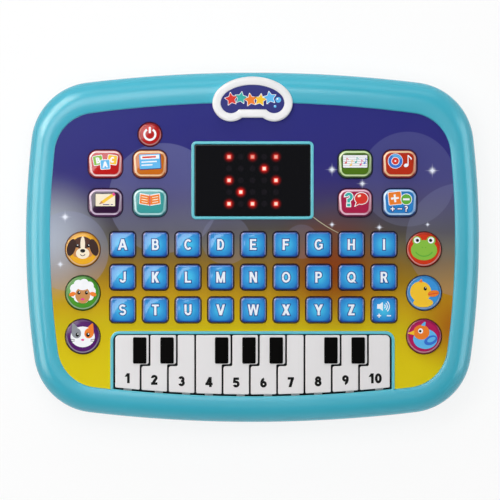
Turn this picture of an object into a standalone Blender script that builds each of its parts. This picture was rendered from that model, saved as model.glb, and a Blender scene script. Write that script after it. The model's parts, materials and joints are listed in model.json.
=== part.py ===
"""Toy learning tablet: a teal clamshell housing with an alphabet keyboard, ten piano keys, function
and animal buttons, a dot-matrix window and a battery bay.

Sizes are in millimetres and become metres in a mesh. X runs across the face, Y up the face towards
the badge, and Z out of the face. The tablet lies on its feet at Z = 0, with its body centred on Z.
The buttons and the gaps between them set the face, and the face sets the body round it.
"""

import math

import bmesh
import bpy
from mathutils import Vector

MM = 0.001

# --- Fits -----------------------------------------------------------------------------------------
RUNNING_GAP = 0.3  # round every moving cap, and between pieces that rest on each other
SEAM_GAP = 0.3  # the parting line between the two housings
SEAT_GAP = 0.1  # between the battery tub and the floor that it is fixed to
OVERSHOOT = 1.0  # how far a cutter passes the face that it opens

# --- Face buttons ---------------------------------------------------------------------------------
LETTER_COLUMNS = 9
LETTER_ROWS = 3
LETTER_SIZE = 13.9
LETTER_GAP = 3.35
LETTER_CORNER = 2.4
FACE_SHIFT = 0.45  # of the letters and the animals, towards +X from the body's middle

ANIMAL_COUNT = 3
ANIMAL_DIAMETER = 18.5
ANIMAL_SIDE_GAP = 4.9
ANIMAL_ROW_GAP = 4.5
ANIMAL_DROP = 0.25  # of the first button's edge, below the letters' upper edge

FUNCTION_WIDTH = 18.4
FUNCTION_HEIGHT = 15.2
FUNCTION_CORNER = 4.8
FUNCTION_COLUMN_GAP = 5.1
FUNCTION_ROW_GAP = 5.2
FUNCTION_ABOVE_LETTERS = 7.5

POWER_DIAMETER = 12.8
POWER_ABOVE_FUNCTION = 1.7

# --- Screen ---------------------------------------------------------------------------------------
SCREEN_WIDTH = 61.4
SCREEN_HEIGHT = 38.1
SCREEN_CORNER = 1.0
SCREEN_SIDE_GAP = 12.7
SCREEN_RISE = 1.65  # the window's middle, above the middle of the two function rows
LENS_FLANGE = 2.2
LENS_FRAME_WALL = 1.2
LENS_RECESS = 0.5  # from the rim's top down to the window's face
LED_COUNT = 5
LED_PITCH = 6.2
LED_DIAMETER = 3.0
LED_HEIGHT = 3.3
LED_MARGIN = 1.0  # of the mat's window, round the LEDs' own squares

# --- Piano ----------------------------------------------------------------------------------------
WHITE_KEYS = 10
PIANO_LENGTH = 32.8
PIANO_BELOW_LETTERS = 5.9
PIANO_INSET = 2.45  # the well's side, in from the side of the letter block
LAST_KEY_EXTRA = 2.8
KEY_SLOT = 0.95
WELL_GAP = 1.0  # from the rim to the first key, and from the last key to the rim
WHITE_HEIGHT = 1.6
STEP_SHIFT = 4.7  # how far a white key's upper part reaches over its right neighbour
STEP_LENGTH = 16.4
STEPPED_KEYS = (0, 1, 3, 4, 5, 7, 8)  # the keys that carry a black key, from C up
BLACK_WIDTH = 7.1
BLACK_LENGTH = 13.9
BLACK_HEIGHT = 1.0
BLACK_EDGE = 1.15  # from a black key to the edge of the white key that carries it
WELL_CORNER = 3.2
BLACK_TAPER = 0.3
KEY_BEVEL = 0.5
PIVOT_RADIUS = 1.0
RAIL_WALL = 0.9  # of the rail that each key's bead turns in, behind the bead
RAIL_DROP = 0.4  # how far the rail reaches below the beads' axis
TAIL_THICKNESS = 1.2
TAIL_SIDE_GAP = 0.4
TAIL_ROOT = 1.04  # how far the tail reaches into the key's rear wall
HEEL_DEPTH = 0.9  # of the block that ties the tail to that wall
TAB_WIDTH = 4.3
TAB_THICKNESS = 1.3
TAB_REACH = 2.0
PIANO_PRESS = 1.3  # at the front edge
STEM_SHARE = 0.6  # of the well's length, from its rear edge to the stems

# --- Rims, margins and bezel ----------------------------------------------------------------------
RIM_WIDTH = 1.6
RIM_HEIGHT = 0.9
WELL_LEDGE = 0.5
DECK_SIDE_MARGIN = 7.9
DECK_TOP_MARGIN = 10.7
BEZEL_SIDE = 12.6
BEZEL_TOP = 15.7
BEZEL_BOTTOM = 13.2
BEZEL_ROLL_DEPTH = 9.0  # height over which the crown rolls into the side wall
BEZEL_ROLL_SHARE = 0.7  # of the bezel's width, which that roll takes
BEZEL_FALL = 0.5  # from the crest down to the bezel's inner edge
BEZEL_EDGE = 0.4
CROWN_TURNS = (90, 60, 35, 15, 0)  # degrees at which the crown's quarter ellipse is cut
INNER_TURNS = (90, 45, 0)
BACK_ROLL_WIDTH = 9.0
BACK_ROLL_DEPTH = 7.0

# --- Outline arcs ---------------------------------------------------------------------------------
WIDEST_ABOVE_CENTRE = 5.0
BODY_END_BOW = 725.0
BODY_SIDE_BOW = 460.0
BODY_CORNER = 33.4
DECK_TOP_BOW = 650.0
DECK_BOTTOM_BOW = 710.0
DECK_SIDE_BOW = 440.0
DECK_CORNER = 22.5
END_SEGMENTS = 3
CORNER_SEGMENTS = 6
SIDE_SEGMENTS = 4

# --- Heights --------------------------------------------------------------------------------------
FOOT_HEIGHT = 1.5
REAR_DEPTH = 11.2  # from the back's outer face to the parting line
DECK_RECESS = 1.8  # the deck's face, below the crest
WALL = 2.4
FLOOR_THICKNESS = 2.2
DECK_THICKNESS = 2.2
LIP_THICKNESS = 1.0
LIP_HEIGHT = 1.6
LIP_END_GAP = 0.2  # with the seam's own gap, between the lip's end and the front housing

# --- Caps -----------------------------------------------------------------------------------------
CAP_HEIGHT = 2.4  # a cap's top, above the deck
CAP_SHOULDER = 0.8
CAP_CROWN_INSET = 1.1
CAP_WALL = 1.3
CAP_ROOF = 1.5
CAP_PRESS = 1.1
FLANGE_WIDTH = 0.7
FLANGE_THICKNESS = 1.0
STEM_WIDTH = 4.0

# --- Inside ---------------------------------------------------------------------------------------
MAT_THICKNESS = 2.3
POCKET_FLOOR = 0.3
BOARD_THICKNESS = 1.6
BOARD_ABOVE_BAY = 1.3
BOARD_MARGIN = 0.6  # past the outermost buttons and posts
POST_RADIUS = 2.5
POST_CLEARANCE = 1.0
CELL_DIAMETER = 10.5
CELL_LENGTH = 44.5
CELL_COUNT = 3
CELL_CLEARANCE = 0.8
CONTACT_ROOM = 6.5
BAY_WALL = 1.7
BAY_ROOF = 1.5
BAY_CENTRE = (0.0, 5.0)
DOOR_THICKNESS = 1.8
DOOR_LEDGE = 2.0
DOOR_CORNER = 2.5
EAR_BOSS_HEIGHT = 8.0
EAR_PILOT = 6.5
EAR_RADIUS = 5.0  # the half-round ear at the door's front edge, which takes its screw
HOOK_WIDTH = 6.0
HOOK_SPACING = 26.0
HOOK_ROOT = 1.0
HOOK_REACH = 1.6
HOOK_THICKNESS = 1.2
SCREW_SIDE_INSET = 15.2  # from the deck's side edge
SCREW_TOP_INSET = 11.1
SCREW_BELOW_ANIMALS = 9.2
SCREW_HEAD_RADIUS = 3.2
SCREW_RADIUS = 1.5
SCREW_PILOT_RADIUS = 1.2
BOSS_RADIUS = 3.5
PILOT_DEPTH = 8.0
PILLAR_RADIUS = 4.6
HEAD_SEAT = 4.0  # plastic between the screw's head and the end of its pillar
CRADLE_HEIGHT = 2.5
CRADLE_SHARE = 0.6  # of a cell's length, which the rib beside it has
RIB_THICKNESS = 1.2
RIB_HEIGHT = 1.6
RIB_END_INSET = 20.0
RIB_FROM_BAY = 10.0
SPEAKER_RADIUS = 18.0
COLLAR_WALL = 1.4
COLLAR_HEIGHT = 1.6
SPEAKER_GAP_FROM_BAY = 18.0
GRILLE_SLOTS = 7
GRILLE_SLOT_WIDTH = 1.8
GRILLE_PITCH = 4.0
GRILLE_RADIUS = 14.5
FOOT_RADIUS = 5.0
FOOT_SIDE_INSET = 50.0
FOOT_END_INSET = 23.0

# --- Badge ----------------------------------------------------------------------------------------
BADGE_HALF_WIDTH = 21.2
BADGE_RISE = 13.9
BADGE_LOBE_RADIUS = 9.8
BADGE_NOTCH = 2.0
BADGE_RIM = 4.3
BADGE_TOP_MARGIN = 2.3
BADGE_THICKNESS = 2.6  # above the crest
BADGE_POCKET = 0.8
BADGE_EDGE = 0.85
PEG_RADIUS = 1.5
PEG_BELOW_LOBE = 5.0

# --- Face layout, worked out from the sizes above --------------------------------------------------
letter_pitch = LETTER_SIZE + LETTER_GAP
letter_half_width = (LETTER_COLUMNS * letter_pitch - LETTER_GAP) / 2
letter_block_height = LETTER_ROWS * letter_pitch - LETTER_GAP
animal_x = letter_half_width + ANIMAL_SIDE_GAP + ANIMAL_DIAMETER / 2
function_inner = SCREEN_WIDTH / 2 + RIM_WIDTH + SCREEN_SIDE_GAP
function_xs = (
    function_inner + FUNCTION_WIDTH / 2,
    function_inner + FUNCTION_WIDTH * 1.5 + FUNCTION_COLUMN_GAP,
)
deck_half_width = DECK_SIDE_MARGIN + max(
    animal_x + ANIMAL_DIAMETER / 2, function_xs[1] + FUNCTION_WIDTH / 2
)
body_half_width = deck_half_width + BEZEL_SIDE
function_block_height = 2 * FUNCTION_HEIGHT + FUNCTION_ROW_GAP
body_height = (
    BEZEL_BOTTOM
    + WELL_LEDGE
    + PIANO_LENGTH
    + PIANO_BELOW_LETTERS
    + letter_block_height
    + FUNCTION_ABOVE_LETTERS
    + function_block_height
    + POWER_ABOVE_FUNCTION
    + POWER_DIAMETER
    + DECK_TOP_MARGIN
    + BEZEL_TOP
)
body_top = body_height / 2
deck_top = body_top - BEZEL_TOP
deck_bottom = -body_top + BEZEL_BOTTOM
well_bottom = deck_bottom + WELL_LEDGE
well_top = well_bottom + PIANO_LENGTH
well_half_width = letter_half_width - PIANO_INSET
letter_bottom = well_top + PIANO_BELOW_LETTERS
letter_top = letter_bottom + letter_block_height
function_bottom = letter_top + FUNCTION_ABOVE_LETTERS
function_ys = (
    function_bottom + FUNCTION_HEIGHT / 2,
    function_bottom + FUNCTION_HEIGHT * 1.5 + FUNCTION_ROW_GAP,
)
power_centre = (
    -function_xs[0],
    function_bottom + function_block_height + POWER_ABOVE_FUNCTION + POWER_DIAMETER / 2,
)
screen_y = function_bottom + function_block_height / 2 + SCREEN_RISE
animal_ys = [
    letter_top - ANIMAL_DROP - ANIMAL_DIAMETER / 2 - row * (ANIMAL_DIAMETER + ANIMAL_ROW_GAP)
    for row in range(ANIMAL_COUNT)
]
badge_lobe_x = BADGE_HALF_WIDTH - BADGE_LOBE_RADIUS
badge_centre_y = body_top - BADGE_TOP_MARGIN - BADGE_RISE

# --- Levels, from the table up: the cells, the board, the mat and the caps set the thickness ---------
back_z = FOOT_HEIGHT
floor_z = back_z + FLOOR_THICKNESS
door_top_z = back_z + DOOR_THICKNESS
ceiling_z = door_top_z + CELL_DIAMETER + CELL_CLEARANCE
bay_top_z = ceiling_z + BAY_ROOF
board_bottom_z = bay_top_z + BOARD_ABOVE_BAY
board_top_z = board_bottom_z + BOARD_THICKNESS
post_top_z = board_bottom_z - RUNNING_GAP
mat_bottom_z = board_top_z + RUNNING_GAP
mat_top_z = mat_bottom_z + MAT_THICKNESS
pocket_z = mat_bottom_z + POCKET_FLOOR
stem_bottom_z = pocket_z + CAP_PRESS + RUNNING_GAP
flange_bottom_z = mat_top_z + CAP_PRESS + RUNNING_GAP
flange_top_z = flange_bottom_z + FLANGE_THICKNESS
under_deck_z = flange_top_z + RUNNING_GAP
deck_z = under_deck_z + DECK_THICKNESS
rim_z = deck_z + RIM_HEIGHT
cap_top_z = deck_z + CAP_HEIGHT
crest_z = deck_z + DECK_RECESS
rear_seam_z = back_z + REAR_DEPTH
front_seam_z = rear_seam_z + SEAM_GAP
boss_end_z = rear_seam_z + LIP_HEIGHT
pillar_top_z = boss_end_z - RUNNING_GAP
lip_top_z = rear_seam_z + LIP_HEIGHT - LIP_END_GAP

COLOURS = {
    "teal": ((0.055, 0.43, 0.56, 1.0), 0.32),
    "white": ((0.80, 0.80, 0.80, 1.0), 0.38),
    "blue": ((0.03, 0.22, 0.75, 1.0), 0.25),
    "red": ((0.62, 0.01, 0.01, 1.0), 0.25),
    "orange": ((0.80, 0.25, 0.02, 1.0), 0.25),
    "yellow": ((0.85, 0.50, 0.03, 1.0), 0.25),
    "smoke": ((0.010, 0.010, 0.012, 1.0), 0.12),
    "board": ((0.28, 0.16, 0.05, 1.0), 0.55),
    "silicone": ((0.45, 0.45, 0.47, 1.0), 0.70),
}


def material(name):
    found = bpy.data.materials.get(name)
    if found is None:
        colour, roughness = COLOURS[name]
        found = bpy.data.materials.new(name)
        found.use_nodes = True
        shader = found.node_tree.nodes["Principled BSDF"]
        shader.inputs["Base Color"].default_value = colour
        shader.inputs["Roughness"].default_value = roughness
        shader.inputs["Metallic"].default_value = 0.0
    return found


# --- Outlines: lists of (x, y), anticlockwise -----------------------------------------------------
def arc(centre, radius, start, end, segments):
    """Points from angle start to angle end, in radians, both ends included."""
    return [
        (
            centre[0] + radius * math.cos(start + (end - start) * i / segments),
            centre[1] + radius * math.sin(start + (end - start) * i / segments),
        )
        for i in range(segments + 1)
    ]


def circle(radius, segments=16, centre=(0.0, 0.0)):
    return arc(centre, radius, 0.0, 2 * math.pi, segments)[:-1]


def rectangle(width, height, centre=(0.0, 0.0)):
    x, y = centre
    return [
        (x - width / 2, y - height / 2),
        (x + width / 2, y - height / 2),
        (x + width / 2, y + height / 2),
        (x - width / 2, y + height / 2),
    ]


def rounded_rectangle(width, height, corner, centre=(0.0, 0.0), segments=2):
    corner = min(corner, width / 2.01, height / 2.01)
    points = []
    for quarter, (sx, sy) in enumerate(((1, 1), (-1, 1), (-1, -1), (1, -1))):
        middle = (
            centre[0] + sx * (width / 2 - corner),
            centre[1] + sy * (height / 2 - corner),
        )
        start = quarter * math.pi / 2
        points += arc(middle, corner, start, start + math.pi / 2, segments)
    return points


def moved(outline, centre):
    return [(x + centre[0], y + centre[1]) for x, y in outline]


def blended(first, second, share):
    """The outline a share of the way from the first to the second, which match point for point."""
    return [
        (a[0] + (b[0] - a[0]) * share, a[1] + (b[1] - a[1]) * share)
        for a, b in zip(first, second)
    ]


def corner_centre(end_centre, end_bow, side_centre, side_bow, corner, upper):
    """Centre of the corner circle that touches an end arc and a side arc from inside."""
    a, b = end_bow - corner, side_bow - corner
    step = side_centre - end_centre
    along = (a * a - b * b + step.length_squared) / (2 * step.length)
    across = math.sqrt(a * a - along * along)
    unit = step.normalized()
    normal = Vector((-unit.y, unit.x))
    ends = [end_centre + unit * along + normal * across * sign for sign in (1, -1)]
    return max(ends, key=lambda p: p.y if upper else -p.y)


def bowed_outline(half_width, top, bottom, bows, corner, inset=0.0):
    """A pillow outline: four long shallow arcs joined by four round corners, all tangent. bows are
    the radii of the top, bottom and side arcs. inset moves the whole outline inwards."""
    top_bow, bottom_bow, side_bow = bows
    side_centre = Vector((half_width - side_bow, WIDEST_ABOVE_CENTRE))
    top_centre = Vector((0.0, top - top_bow))
    bottom_centre = Vector((0.0, bottom + bottom_bow))
    upper = corner_centre(top_centre, top_bow, side_centre, side_bow, corner, True)
    lower = corner_centre(bottom_centre, bottom_bow, side_centre, side_bow, corner, False)

    def angle(origin, target):
        return math.atan2(target.y - origin.y, target.x - origin.x)

    stops = (
        (bottom_centre, bottom_bow, -math.pi / 2, END_SEGMENTS),
        (lower, corner, angle(bottom_centre, lower), CORNER_SEGMENTS),
        (side_centre, side_bow, angle(side_centre, lower), SIDE_SEGMENTS),
        (upper, corner, angle(side_centre, upper), CORNER_SEGMENTS),
        (top_centre, top_bow, angle(top_centre, upper), END_SEGMENTS),
    )
    starts = [stop[2] for stop in stops] + [math.pi / 2]
    right = []
    for (centre, radius, start, segments), end in zip(stops, starts[1:]):
        right += arc(centre, radius - inset, start, end, segments)[:-1]
    right.append((0.0, top - inset))
    left = [(-x, y) for x, y in reversed(right[1:-1])]
    return right + left


def body_outline(inset=0.0):
    bows = (BODY_END_BOW, BODY_END_BOW, BODY_SIDE_BOW)
    return bowed_outline(body_half_width, body_top, -body_top, bows, BODY_CORNER, inset)


def deck_outline(inset=0.0):
    bows = (DECK_TOP_BOW, DECK_BOTTOM_BOW, DECK_SIDE_BOW)
    return bowed_outline(deck_half_width, deck_top, deck_bottom, bows, DECK_CORNER, inset)


def deck_bottom_at(x):
    """The deck's lower edge, which is an arc, at x."""
    return deck_bottom + DECK_BOTTOM_BOW - math.sqrt(DECK_BOTTOM_BOW**2 - x * x)


def well_outline(grow=0.0, ledge=WELL_LEDGE):
    """The piano well: straight sides, two round upper corners and a lower edge along the deck's."""
    half, top, corner = well_half_width + grow, well_top + grow, WELL_CORNER + grow
    steps = 8
    lower = [-half + 2 * half * i / steps for i in range(steps + 1)]
    points = [(x, deck_bottom_at(x) + ledge) for x in lower]
    points += arc((half - corner, top - corner), corner, 0.0, math.pi / 2, 3)
    points += arc((corner - half, top - corner), corner, math.pi / 2, math.pi, 3)
    return points


def badge_outline(inset=0.0):
    """Half an ellipse over two round lobes, with a straight notch between the lobes."""
    lobe = BADGE_LOBE_RADIUS - inset
    notch = BADGE_LOBE_RADIUS - BADGE_NOTCH - inset
    turn = math.asin(notch / lobe)
    width, rise = BADGE_HALF_WIDTH - inset, BADGE_RISE - inset
    top = [(width * x, rise * y) for x, y in arc((0, 0), 1.0, 0.0, math.pi, 14)]
    left = arc((-badge_lobe_x, 0.0), lobe, math.pi, 2 * math.pi - turn, 7)[1:]
    right = arc((badge_lobe_x, 0.0), lobe, math.pi + turn, 2 * math.pi, 7)[:-1]
    return moved(top + left + right, (0.0, badge_centre_y))


# --- Solids ---------------------------------------------------------------------------------------
def ring(outline, z):
    return [(x, y, z) for x, y in outline]


def add_loft(mesh, rings):
    """Adds to a bmesh the closed solid whose skin runs from ring to ring, capped at both ends."""
    rows = [[mesh.verts.new(Vector(point) * MM) for point in points] for points in rings]
    for low, high in zip(rows, rows[1:]):
        for i in range(len(low)):
            j = (i + 1) % len(low)
            mesh.faces.new((low[i], low[j], high[j], high[i]))
    mesh.faces.new(reversed(rows[0]))
    mesh.faces.new(rows[-1])


def new_object(name, mesh, colour=None, location=(0.0, 0.0, 0.0)):
    """An object from a bmesh built in place. location is its origin, and its mesh stays put."""
    bmesh.ops.recalc_face_normals(mesh, faces=mesh.faces)
    bmesh.ops.translate(mesh, verts=mesh.verts, vec=-Vector(location) * MM)
    data = bpy.data.meshes.new(name)
    mesh.to_mesh(data)
    mesh.free()
    made = bpy.data.objects.new(name, data)
    made.location = Vector(location) * MM
    bpy.context.scene.collection.objects.link(made)
    if colour:
        data.materials.append(material(colour))
    return made


def solid(name, lofts, colour=None, location=(0.0, 0.0, 0.0)):
    """An object made of one loft, or of several that don't meet."""
    mesh = bmesh.new()
    for rings in lofts:
        add_loft(mesh, rings)
    return new_object(name, mesh, colour, location)


def prism(outline, low, high):
    return [ring(outline, low), ring(outline, high)]


def tube(outer, inner, low, high):
    """The four rings of a prism with a straight hole, for add_tube."""
    return [ring(outer, low), ring(outer, high), ring(inner, high), ring(inner, low)]


def add_tube(mesh, rings):
    """Adds a ring-shaped solid: its last ring joins its first, and nothing is capped."""
    rows = [[mesh.verts.new(Vector(point) * MM) for point in points] for points in rings]
    for low, high in zip(rows, rows[1:] + rows[:1]):
        for i in range(len(low)):
            j = (i + 1) % len(low)
            mesh.faces.new((low[i], low[j], high[j], high[i]))


def combine(target, lofts, operation, tubes=()):
    """Cuts lofts from the target, or joins them to it, with a Boolean on a hidden helper."""
    mesh = bmesh.new()
    for rings in lofts:
        add_loft(mesh, rings)
    for rings in tubes:
        add_tube(mesh, rings)
    helper = new_object(f"{target.name}_{operation.lower()}_{len(target.modifiers)}", mesh)
    helper.hide_render = True
    helper.display_type = "WIRE"
    modifier = target.modifiers.new(operation.title(), "BOOLEAN")
    modifier.operation = operation
    modifier.solver = "EXACT"
    modifier.object = helper


def x_cylinder(y, z, radius, x_low, x_high, segments):
    """Two rings of a cylinder that lies along X."""
    return [
        [(x, y + dy, z + dz) for dy, dz in circle(radius, segments)] for x in (x_low, x_high)
    ]


# --- Caps that travel straight into the deck -------------------------------------------------------
def cap_mesh(name, outline_of, hollow):
    """A hollow cap over its retaining flange, with a square stem that presses the mat. outline_of
    gives the cap's outline grown by a distance. The mesh is centred on its own stem."""
    cap, crown = outline_of(0.0), outline_of(-CAP_CROWN_INSET)
    flange = outline_of(RUNNING_GAP + FLANGE_WIDTH)
    body = [
        ring(flange, flange_bottom_z),
        ring(flange, flange_top_z),
        ring(cap, flange_top_z),
        ring(cap, cap_top_z - CAP_SHOULDER),
        ring(crown, cap_top_z),
    ]
    made = solid(name, [body])
    roof_z = cap_top_z - CAP_ROOF
    combine(made, [prism(hollow, flange_bottom_z - OVERSHOOT, roof_z)], "DIFFERENCE")
    stem = rectangle(STEM_WIDTH, STEM_WIDTH)
    combine(made, [prism(stem, stem_bottom_z, roof_z + CAP_ROOF / 2)], "UNION")
    graph = bpy.context.evaluated_depsgraph_get()
    finished = bpy.data.meshes.new_from_object(made.evaluated_get(graph))
    helpers = [modifier.object for modifier in made.modifiers]
    for spare in [made, *helpers]:
        bpy.data.objects.remove(spare)
    return finished


def letter_outline(grow):
    size = LETTER_SIZE + 2 * grow
    return rounded_rectangle(size, size, LETTER_CORNER + grow)


def function_outline(grow):
    width, height = FUNCTION_WIDTH + 2 * grow, FUNCTION_HEIGHT + 2 * grow
    return rounded_rectangle(width, height, FUNCTION_CORNER + grow)


def animal_outline(grow):
    return circle(ANIMAL_DIAMETER / 2 + grow)


def power_outline(grow):
    """A circle with a flat below it, where its flange would meet a function button's."""
    radius = POWER_DIAMETER / 2
    room = max(POWER_ABOVE_FUNCTION - FLANGE_WIDTH - 2 * RUNNING_GAP, RUNNING_GAP)
    return [(x, max(y, -radius - room)) for x, y in circle(radius + grow)]


def letter_places():
    """(name, centre) of the 26 letters, row by row from the top, and the volume key after Z."""
    names = [f"letter_key_{chr(ord('a') + i)}" for i in range(26)] + ["volume_key"]
    places = []
    for i, name in enumerate(names):
        row, column = divmod(i, LETTER_COLUMNS)
        x = FACE_SHIFT + (column - (LETTER_COLUMNS - 1) / 2) * letter_pitch
        y = letter_top - LETTER_SIZE / 2 - row * letter_pitch
        places.append((name, (x, y)))
    return places


def function_places():
    names = (
        ("letter", "word", "song", "music"),
        ("spell", "read", "question", "number"),
    )
    xs = (-function_xs[1], -function_xs[0], function_xs[0], function_xs[1])
    return [
        (f"function_button_{name}", (x, y))
        for row, y in zip(names, reversed(function_ys))
        for name, x in zip(row, xs)
    ]


def animal_places():
    names = (("dog", "sheep", "cat"), ("frog", "duck", "bird"))
    return [
        (f"animal_button_{name}", (FACE_SHIFT + side * animal_x, y))
        for side, column in zip((-1, 1), names)
        for name, y in zip(column, animal_ys)
    ]


def cap_families():
    """Each family of caps: its name, outline, hollow, colour and places."""
    wall = 2 * CAP_WALL
    letter_hollow = rectangle(LETTER_SIZE - wall, LETTER_SIZE - wall)
    function_hollow = rounded_rectangle(
        FUNCTION_WIDTH - wall, FUNCTION_HEIGHT - wall, FUNCTION_CORNER - CAP_WALL, segments=1
    )
    animal_hollow = circle((ANIMAL_DIAMETER - wall) / 2, 8)
    power_hollow = circle((POWER_DIAMETER - wall) / 2, 8)
    return (
        ("letter_cap", letter_outline, letter_hollow, "blue", letter_places()),
        ("function_cap", function_outline, function_hollow, "orange", function_places()),
        ("animal_cap", animal_outline, animal_hollow, "yellow", animal_places()),
        ("power_cap", power_outline, power_hollow, "red", [("power_button", power_centre)]),
    )


def make_caps():
    for family, outline_of, hollow, colour, places in cap_families():
        mesh = cap_mesh(family, outline_of, hollow)
        mesh.materials.clear()
        mesh.materials.append(material(colour))
        for name, centre in places:
            cap = bpy.data.objects.new(name, mesh)
            cap.location = (centre[0] * MM, centre[1] * MM, 0.0)
            bpy.context.scene.collection.objects.link(cap)


# --- Piano keys -----------------------------------------------------------------------------------
white_pitch = (2 * well_half_width - LAST_KEY_EXTRA) / WHITE_KEYS
white_top_z = deck_z + WHITE_HEIGHT
white_skirt_z = mat_top_z + PIANO_PRESS + 2 * RUNNING_GAP
pivot_y = well_top + PIVOT_RADIUS + RIM_WIDTH - RUNNING_GAP
pivot_z = under_deck_z - PIVOT_RADIUS - 4 * RUNNING_GAP / 3
piano_stem_y = well_top - STEM_SHARE * PIANO_LENGTH


def key_front(x):
    """y of a white key's front edge, which follows the well's lower edge."""
    return deck_bottom_at(x) + WELL_LEDGE + KEY_SLOT


def white_boundary(i, upper):
    """x of the slot to the left of white key i, in the keys' lower or upper part."""
    if i == 0:
        return -well_half_width - KEY_SLOT / 2 + WELL_GAP
    if i == WHITE_KEYS:
        return well_half_width + KEY_SLOT / 2 - WELL_GAP
    shift = STEP_SHIFT if upper and i - 1 in STEPPED_KEYS else 0.0
    return -well_half_width + i * white_pitch + shift


def white_plan(i):
    """Plan of white key i. Its upper part reaches right, or starts further right, at a step."""
    slot = KEY_SLOT / 2
    left, right = white_boundary(i, False) + slot, white_boundary(i + 1, False) - slot
    upper_left = white_boundary(i, True) + slot
    upper_right = white_boundary(i + 1, True) - slot
    top, step = well_top - KEY_SLOT / 2, well_top - STEP_LENGTH
    points = [(x, key_front(x)) for x in (left, right)]
    if upper_right > right:
        points += [(right, step + slot), (upper_right, step + slot)]
    corner = WELL_CORNER - WELL_GAP
    if i == WHITE_KEYS - 1:
        points += arc((upper_right - corner, top - corner), corner, 0.0, math.pi / 2, 3)
    else:
        points.append((upper_right, top))
    if i == 0:
        points += arc((upper_left + corner, top - corner), corner, math.pi / 2, math.pi, 3)
    else:
        points.append((upper_left, top))
    if upper_left > left:
        points += [(upper_left, step - slot), (left, step - slot)]
    return points


def add_bevelled_prism(mesh, outline, low, high, bevel):
    """A prism whose upper edges are chamfered."""
    add_loft(mesh, prism(outline, low, high))
    top_edges = [
        edge
        for edge in mesh.edges
        if all(abs(vert.co.z - high * MM) < 1e-7 for vert in edge.verts)
    ]
    bmesh.ops.recalc_face_normals(mesh, faces=mesh.faces)
    bmesh.ops.bevel(mesh, geom=top_edges, offset=bevel * MM, segments=1, affect="EDGES")


def narrow_span(i):
    """The x range that white key i fills over its whole length, clear of both steps."""
    left = max(white_boundary(i, False), white_boundary(i, True)) + KEY_SLOT / 2
    right = min(white_boundary(i + 1, False), white_boundary(i + 1, True)) - KEY_SLOT / 2
    return left, right


def key_works(i, roof_z):
    """What joins white key i to the rest: its tail, heel and bead at the pivot, its stem, and the
    tab that hooks under the bezel. Each group's pieces keep clear of one another."""
    left, right = narrow_span(i)
    middle, half_tail = (left + right) / 2, (right - left) / 2 - TAIL_SIDE_GAP
    rear, front = well_top - KEY_SLOT / 2, key_front(middle)
    tail_root = rear - TAIL_ROOT
    tail = rectangle(2 * half_tail, pivot_y - tail_root, (middle, (pivot_y + tail_root) / 2))
    heel = rectangle(2 * half_tail, HEEL_DEPTH, (middle, rear - TAIL_ROOT / 2))
    tab = rectangle(TAB_WIDTH, TAB_REACH + CAP_WALL / 2, (middle, front - TAB_REACH / 2 + CAP_WALL / 4))
    stem = rectangle(STEM_WIDTH, STEM_WIDTH, (middle, piano_stem_y))
    tail_low, tail_high = pivot_z - TAIL_THICKNESS / 2, pivot_z + TAIL_THICKNESS / 2
    tab_top = under_deck_z - RUNNING_GAP
    bead = x_cylinder(pivot_y, pivot_z, PIVOT_RADIUS, middle - half_tail, middle + half_tail, 8)
    first = [
        prism(tail, tail_low, tail_high),
        prism(stem, stem_bottom_z, roof_z + CAP_ROOF / 2),
        prism(tab, tab_top - TAB_THICKNESS, tab_top),
    ]
    return first, [prism(heel, pivot_z, white_skirt_z + CAP_WALL / 2), bead]


def black_bump(i):
    """The raised black key on white key i: it stands a set way in from the key's rear and step."""
    edge = white_boundary(i + 1, True) - KEY_SLOT / 2 - BLACK_EDGE
    rear = well_top - KEY_SLOT / 2 - BLACK_EDGE
    centre = (edge - BLACK_WIDTH / 2, rear - BLACK_LENGTH / 2)
    foot = rectangle(BLACK_WIDTH, BLACK_LENGTH, centre)
    crown = rectangle(BLACK_WIDTH - 2 * BLACK_TAPER, BLACK_LENGTH - 2 * BLACK_TAPER, centre)
    top = white_top_z + BLACK_HEIGHT
    return [
        ring(foot, white_top_z - CAP_ROOF / 2),
        ring(foot, top - BLACK_TAPER),
        ring(crown, top),
    ]


def make_piano_key(i):
    plan = white_plan(i)
    left, right = narrow_span(i)
    middle = (left + right) / 2
    mesh = bmesh.new()
    add_bevelled_prism(mesh, plan, white_skirt_z, white_top_z, KEY_BEVEL)
    key = new_object(f"piano_key_{i + 1}", mesh, "white", (middle, pivot_y, pivot_z))
    hollow_rear = well_top - KEY_SLOT / 2 - CAP_WALL
    hollow_front = key_front(max(abs(left), abs(right))) + CAP_WALL
    hollow = rectangle(
        right - left - 2 * CAP_WALL,
        hollow_rear - hollow_front,
        (middle, (hollow_rear + hollow_front) / 2),
    )
    roof_z = white_top_z - CAP_ROOF
    combine(key, [prism(hollow, white_skirt_z - OVERSHOOT, roof_z)], "DIFFERENCE")
    for group in key_works(i, roof_z):
        combine(key, group, "UNION")
    if i in STEPPED_KEYS:
        combine(key, [black_bump(i)], "UNION")


# --- Front housing --------------------------------------------------------------------------------
def bezel_rings(raise_by, turns):
    """The bezel's skin, moved outwards by a distance, from its inner edge to the side wall. The
    crest falls a little to the inner edge, and a quarter ellipse, cut at the given angles in
    degrees, rolls it into the side wall."""
    outer, inner = body_outline(-raise_by), deck_outline(raise_by)
    edge_z = crest_z - BEZEL_FALL
    profile = [(1.0, edge_z - BEZEL_EDGE), (1.0 - BEZEL_EDGE / BEZEL_SIDE, edge_z)]
    for turn in turns:
        angle = math.radians(turn)
        share = BEZEL_ROLL_SHARE * (1 - math.cos(angle))
        profile.append((share, crest_z - BEZEL_ROLL_DEPTH * (1 - math.sin(angle))))
    return [ring(blended(outer, inner, share), z + raise_by) for share, z in profile]


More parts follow.
